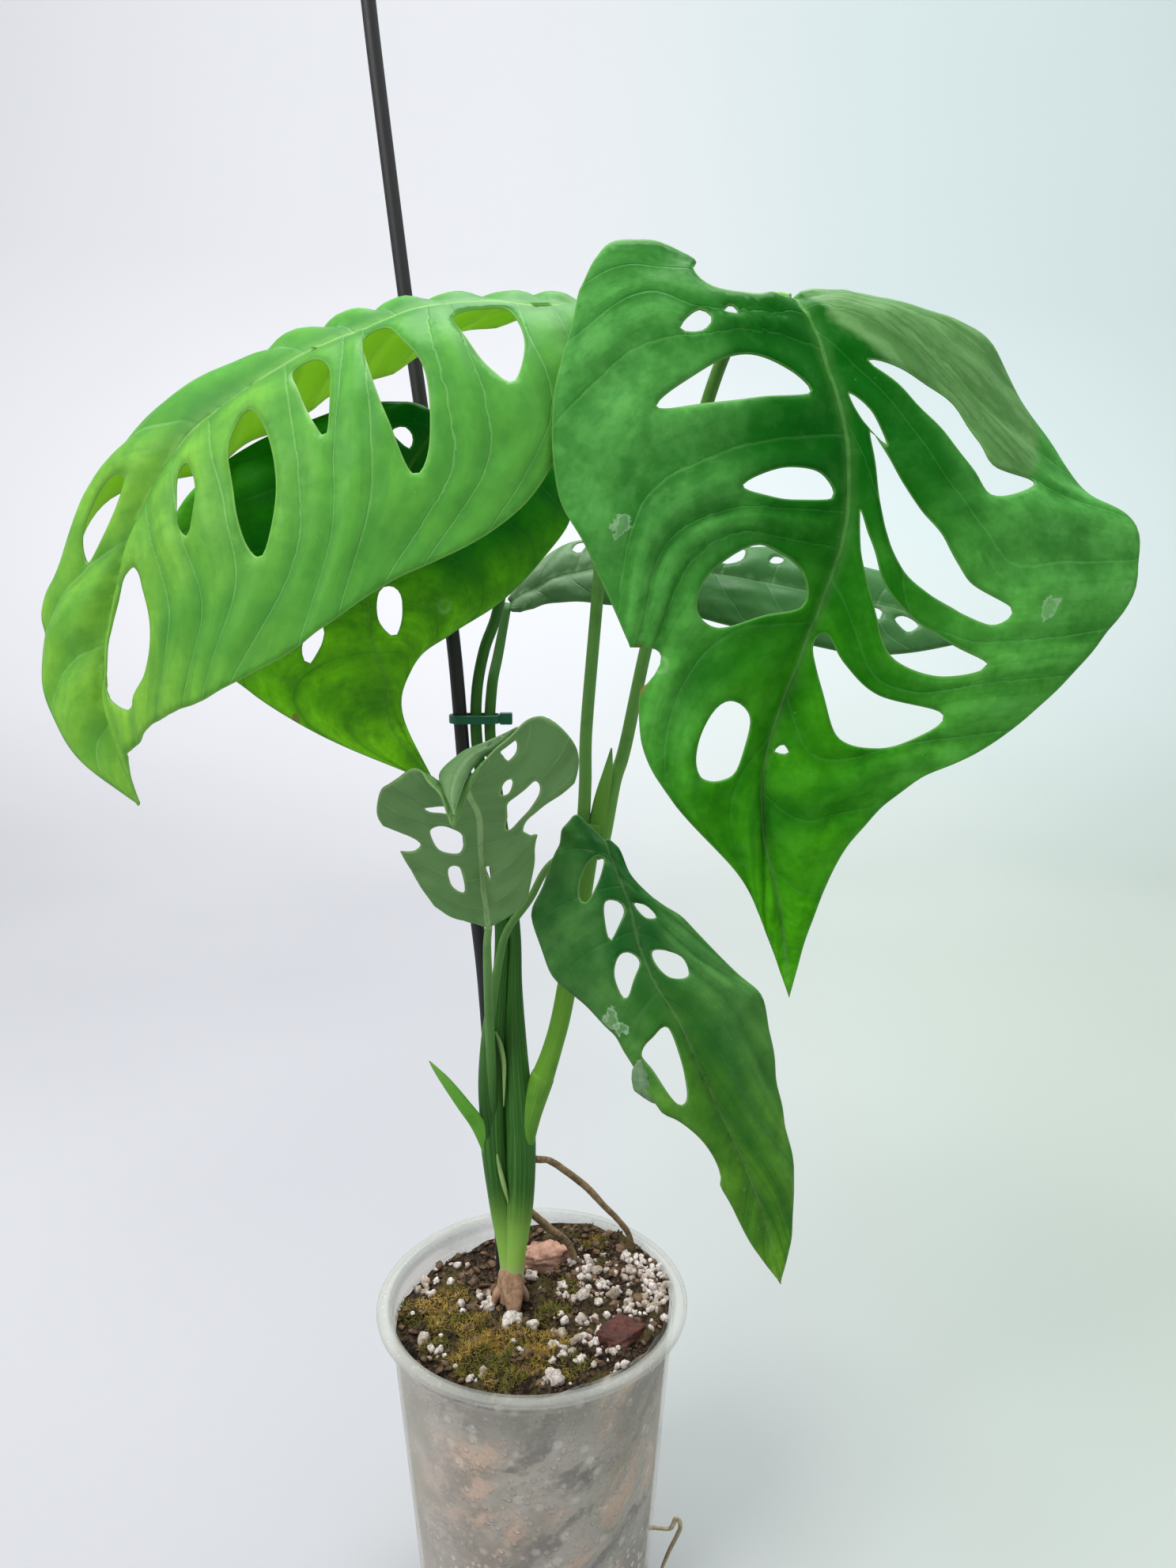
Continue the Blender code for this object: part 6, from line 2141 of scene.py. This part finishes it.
STALKS = {
    "stalk_drooping": (
        (-9, 8, 112, 3.4), (-9, 8, 132, 4.0), (-10, 8, 150, 3.6), (-12.8, 8, 175, 4.4), (-15.0, 8, 205, 5.2),
        (-14.2, 8, 230, 4.6), (-12, 8.6, 258, 3.1), (-10.6, 9.6, 285, 2.5), (-13.6, 10, 320, 2.3),
        (-18.0, 9.4, 352, 2.1), (-18.2, 10.4, 372, 2.0), (-15.4, 13, 388, 2.0), (-10.6, 16.2, 402, 1.95),
        (-7.5, 19, 425, 1.8), (-13, 14, 452, 1.7), (-25.6, 5.6, 466, 1.5),
    ),
    "stalk_back": (
        (-9, 7, 112, 3.4), (-8, 7, 132, 4.0), (-7.2, 7, 150, 3.9), (-5.0, 7, 175, 5.4), (-4.2, 7, 205, 5.6),
        (-5.8, 7.6, 235, 4.6), (-6.2, 9.6, 262, 3.1), (-6.2, 11.6, 285, 2.5), (-9.4, 11, 320, 2.2),
        (-13.4, 10, 355, 2.0), (-13.0, 13.5, 374, 1.95), (-11.0, 21, 386, 1.85), (-8, 30.5, 403.2, 1.5),
    ),
    "stalk_inner": (
        (-10, 11, 150, 2.0), (-10, 11, 175, 3.6), (-10, 11, 205, 4.4), (-10, 11, 235, 3.4),
        (-9, 11, 262, 1.2),
    ),
    "stalk_small": (
        (-14.5, 7, 200, 1.6), (-14.8, 4.0, 218, 1.9), (-14.6, 0, 238, 1.9), (-14.2, -8, 258, 1.7),
        (-13.6, -17, 276, 1.6), (-13, -24, 291, 1.4), (-12, -27.8, 298.7, 1.2),
    ),
    "stalk_low": (
        (-15.6, 7, 196, 3.0), (-17.0, 4.4, 222, 3.0), (-16.0, 0.5, 245, 2.2), (-13.4, -3.4, 262, 1.8),
        (-10.6, -5.6, 278, 1.5), (-7.2, -7.6, 290.5, 1.4), (1, -10.4, 303, 1.35), (9, -13, 317, 1.3),
        (25.3, -19.9, 327.7, 1.2),
    ),
    "stalk_arching": (
        (18.2, 11, 312, 2.3), (19.6, 12, 323, 2.4), (20.5, 11, 340, 2.3), (21, 8, 362, 2.2),
        (25, 2, 411, 2.1), (28, -8, 457, 2.0), (29.5, -20, 484, 1.9), (28.2, -25.7, 496, 1.8),
    ),
    "stalk_hanging": (
        (25.6, 12, 312, 2.9), (28.0, 13.4, 324, 2.8), (31.2, 16, 340, 2.6), (35, 18, 352, 2.4),
        (42, 14, 388, 2.25), (51, 2, 430, 2.2), (59, -14, 468, 2.1), (67, -26, 490, 2.0),
        (76, -32, 497, 1.8), (81.5, -34.4, 496.8, 1.6),
    ),
    "stem_right": (
        (-6, 6.5, 176, 2.2), (-3.2, 6, 196, 3.3), (-0.2, 5.6, 212, 4.1), (3.9, 5, 226.5, 4.7),
        (5.0, 5, 229.5, 4.3), (8.4, 5.5, 240, 3.75), (12.3, 6, 256, 3.7), (18, 9, 290, 3.8),
        (21.4, 11.6, 316, 4.4), (23.2, 12, 325, 4.0),
    ),
    "sheath_hanging": (
        (22.6, 11.6, 312, 3.6), (24.4, 12, 322, 3.7), (26.4, 12.6, 334, 3.0), (28.6, 13, 344, 1.9),
        (30.0, 13, 352.8, 0.3),
    ),
    "new_leaf": (
        (-15, 6, 190, 1.8), (-17.4, 5, 200, 2.5), (-20.4, 3.4, 209.5, 2.9), (-25, 1, 218.3, 2.7),
        (-31, -1, 228.6, 2.0), (-35, -2.4, 235, 1.0), (-37.1, -3, 238.4, 0.2),
    ),
    "sheath_edge_high": (
        (-12.9, 3.4, 247, 0.3), (-11.2, 2.8, 242, 0.9), (-10.0, 2.6, 235, 0.9), (-10.0, 2.6, 226, 0.6),
        (-10.3, 2.8, 217, 0.2),
    ),
    "sheath_edge_low": (
        (-13.6, 4.0, 199, 0.2), (-12.4, 3.1, 192, 0.8), (-10.7, 2.8, 184, 0.9), (-9.0, 3.2, 176, 0.3),
    ),
    "crown": (
        (-9, 7.5, 122, 4.6), (-9, 7.2, 132, 5.2), (-9, 7.2, 139, 5.4), (-9, 7.4, 143.5, 4.8),
        (-9, 7.6, 146, 3.4),
    ),
    "crown_root_front": (
        (-8.6, 7, 145, 3.4), (-8.2, 3.2, 142.0, 4.2), (-7.6, -0.4, 138.6, 3.8), (-7.2, -3.4, 135.0, 2.8),
        (-7.0, -5.0, 131.5, 1.4),
    ),
    "crown_root_left": (
        (-11, 7, 139, 2.4), (-13.2, 5.8, 136.8, 2.3), (-14.9, 4.6, 134.2, 1.8), (-15.9, 3.4, 131.0, 1.0),
    ),
    "crown_root_right": (
        (-6, 7, 138, 2.2), (-4.0, 5.6, 136.2, 2.2), (-2.4, 4.0, 133.8, 1.7), (-1.4, 2.6, 131.0, 1.0),
    ),
}
STALK_LOOKS = (
    ((0.012, 0.072, 0.008), (0.022, 0.100, 0.014), (0.045, 0.150, 0.030), 0.35, True),
    ((0.006, 0.050, 0.005), (0.085, 0.22, 0.05), (0.15, 0.30, 0.09), 0.25),
    ((0.14, 0.32, 0.06), (0.130, 0.300, 0.070), (0.150, 0.340, 0.060), 0.4),
    ((0.060, 0.200, 0.020), (0.115, 0.290, 0.022), (0.085, 0.230, 0.030), 0.5),
    ((0.10, 0.26, 0.03), (0.13, 0.31, 0.04), (0.17, 0.36, 0.08), 0.4),
    ((0.09, 0.27, 0.03), (0.10, 0.33, 0.03), (0.20, 0.42, 0.08), 0.4),
    ((0.22, 0.36, 0.11), (0.26, 0.40, 0.14), (0.22, 0.36, 0.11), 0.2),
)
ROOTS = {
    "aerial_root_long": (
        (0.9, 10, 191.1, 1.4), (7.7, 14, 187.4, 1.4), (19.5, 19, 174.8, 1.4), (27.4, 22, 164.2, 1.35),
        (34.2, 26, 154.2, 1.3), (38.8, 28.3, 145, 1.3), (40, 29, 132, 1.2),
    ),
    "aerial_root_short": (
        (-2.4, 11.7, 168.2, 1.5), (2.5, 14.5, 162, 1.6), (7.4, 17, 155.7, 1.6), (13.7, 20.5, 147.4, 1.5),
        (17.8, 21.8, 134, 1.4),
    ),
    "drain_root": (
        (46.2, 0, 31, 0.8), (49, 0, 31.2, 0.8), (55, 0, 31, 0.7), (57.5, 0, 35.5, 0.7), (59, 0, 31, 0.6),
        (55, 0.5, 20, 0.6), (51.5, 1, 9, 0.5),
    ),
}
STAKE = (
    (-12, 20, 8, 2.5), (-13, 19, 132, 2.5), (-17.6, 17.6, 250, 2.5), (-21, 13, 300, 2.5),
    (-23.8, 10, 359, 2.5), (-27, 12, 400, 2.5), (-36, 19, 470, 2.5), (-41, 21, 510, 2.5),
    (-49, 24, 585, 2.5), (-52, 25, 620, 2.5),
)
PERLITE = (
    (-34.2, 18.3, 1.9, 1), (-28.8, 6.8, 1.9, 1), (-7.0, -12.4, 3.8, 1), (0.8, -15.8, 2.4, 1),
    (9.7, -45.6, 3.3, 1), (-1.2, 14.5, 2.3, 1), (-3.4, -31.8, 1.8, 1), (-16.1, -35.5, 1.8, 1),
    (-41.0, -14.2, 2.6, 1), (19.8, -3.7, 2.6, 1), (24.0, -13.3, 1.8, 1), (19.0, -16.1, 2.3, 1),
    (10.4, -32.0, 2.6, 1), (15.6, -33.1, 2.0, 1), (25.5, -23.2, 2.0, 1), (28.8, -12.2, 1.8, 1),
    (31.2, -1.5, 2.6, 1), (44.6, -21.5, 2.0, 1), (50.3, -14.8, 1.8, 1), (30.5, -35.4, 1.8, 1),
    (26.7, 7.0, 1.8, 1), (12.7, 1.0, 1.8, 1), (-6.0, -21.6, 1.2, 1), (8.7, -21.3, 1.2, 1),
    (-13.5, 21.3, 1.8, 1), (-28.7, 27.1, 1.5, 1), (-43.9, 18.8, 5.0, 10), (-17.0, 2.5, 4.2, 14),
    (-20.4, 12.4, 4.0, 9), (6.1, -46.9, 3.0, 5), (-19.3, -37.6, 2.6, 4), (-34.9, -20.2, 4.0, 7),
    (21.9, -26.1, 4.6, 10), (18.8, 20.4, 4.8, 14), (20.4, 10.0, 4.4, 10), (23.6, 16.3, 3.2, 5),
    (41.0, -7.9, 6.0, 18), (48.0, -0.8, 6.4, 22), (45.6, 13.1, 7.5, 26), (50.0, 4.1, 4.0, 10),
    (33.1, -42.3, 4.2, 10), (28.9, -45.0, 3.0, 5), (39.6, 19.4, 4.6, 10), (32.0, 4.0, 22.0, 80),
    (18.0, -28.0, 16.0, 26), (0.0, 0.0, 52.0, 45),
)
MOSS = (
    (-33.4, -2.3, 7.5, 700), (-18.9, -26.6, 11.0, 1500), (-5.2, -34.6, 12.0, 1700), (-46.5, 3.0, 8.0, 600),
    (-9.4, -17.1, 9.0, 1000), (6.0, -29.4, 9.0, 800), (14.2, 5.7, 6.0, 350), (23.7, 33.2, 6.0, 350),
    (-22.7, -8.2, 8.0, 800), (-33.5, 12.2, 7.0, 400), (8.3, -9.7, 7.0, 450), (-36.0, -18.0, 6.0, 350),
    (16.0, -40.0, 7.0, 400),
)


def stalks() -> list[Stalk]:
    """The stem's parts, the petioles, the roots and the stake.

    Returns:
        The stalks, in the order that they are made in.
    """
    dark, pale, tall, stem, sheath, spike, edge = (StalkFinish(*looks) for looks in STALK_LOOKS)
    grown = (
        ("stalk_drooping", ("stem", "petiole_drooping"), dark, (24, 6, 0.06, -90.0)),
        ("stalk_back", ("stem", "petiole_back"), dark, (24, 6, 0.06, -90.0)),
        ("stalk_inner", ("stem",), dark, (20, 6, 0.06, 0.0)),
        ("stalk_small", ("petiole_small",), pale, (20, 8, 0.10, 90.0)),
        ("stalk_low", ("petiole_low",), pale, (20, 8, 0.10, 90.0)),
        ("stalk_arching", ("petiole_arching",), tall, (20, 8, 0.12, 100.0)),
        ("stalk_hanging", ("petiole_hanging",), tall, (20, 8, 0.12, 100.0)),
        ("stem_right", ("stem",), stem, (28, 8, 0.05, 0.0)),
        ("sheath_hanging", ("petiole_hanging",), sheath, (24, 8, 0.12, 180.0, 0.6)),
        ("new_leaf", ("stem",), spike, (24, 8, 0.35, -90.0, 0.42)),
        ("sheath_edge_high", ("stem",), edge, (16, 8)),
        ("sheath_edge_low", ("stem",), edge, (16, 8)),
    )
    made = []
    for name, nodes, finish, shape in grown:
        slot = "stem" if nodes[0] == "stem" else "petiole"
        made.append(Stalk(name, slot, nodes, Sweep(STALKS[name], *shape), finish))
    base = WoodyFinish((0.16, 0.085, 0.045), (0.42, 0.26, 0.165), 420.0, 0.0007)
    for name in ("crown", "crown_root_front", "crown_root_left", "crown_root_right"):
        made.append(Stalk(name, "root", ("stem",), Sweep(STALKS[name], 22, 10, 0.35), base))
    root = WoodyFinish((0.075, 0.045, 0.020), (0.30, 0.21, 0.11), 700.0, 0.0005)
    white = WoodyFinish((0.26, 0.21, 0.12), (0.52, 0.45, 0.30), 700.0, 0.0003)
    for name, path in ROOTS.items():
        look, slot = (white, "root_pale") if name == "drain_root" else (root, "root")
        made.append(Stalk(name + "_skin", slot, (name,), Sweep(path, sides=14, fine=14, rough=0.12), look))
    black = CoatFinish((0.008, 0.007, 0.008), (0.030, 0.024, 0.024), 0.42)
    made.append(Stalk("stake_rod", "stake", ("stake",), Sweep(STAKE, sides=24, fine=6), black))
    return made


def main() -> None:
    """Builds the plant, its pot and the stage."""
    logging.basicConfig(level=logging.INFO, format="%(message)s")
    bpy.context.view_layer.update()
    pot = Pot()
    pot.build()
    PottingMix().build(pot)
    dark = WoodyFinish((0.020, 0.006, 0.004), (0.11, 0.030, 0.020), 420.0, 0.0008, 0.55)
    tan = WoodyFinish((0.14, 0.065, 0.045), (0.56, 0.33, 0.24), 300.0, 0.0010, 0.8)
    BarkChunk("bark_tan", (17.0, 11.0, 9.0), (4.2, 24.0, 138.0), 12.0, tan).build()
    BarkChunk("bark_dark", (15.0, 11.0, 10.0), (33.0, -25.0, 138.0), 38.0, dark).build()
    for stalk in stalks():
        stalk.build()
    Tie().build()
    for leaf in LEAVES:
        leaf.build()
    Studio().build()


if __name__ == "__main__":
    main()
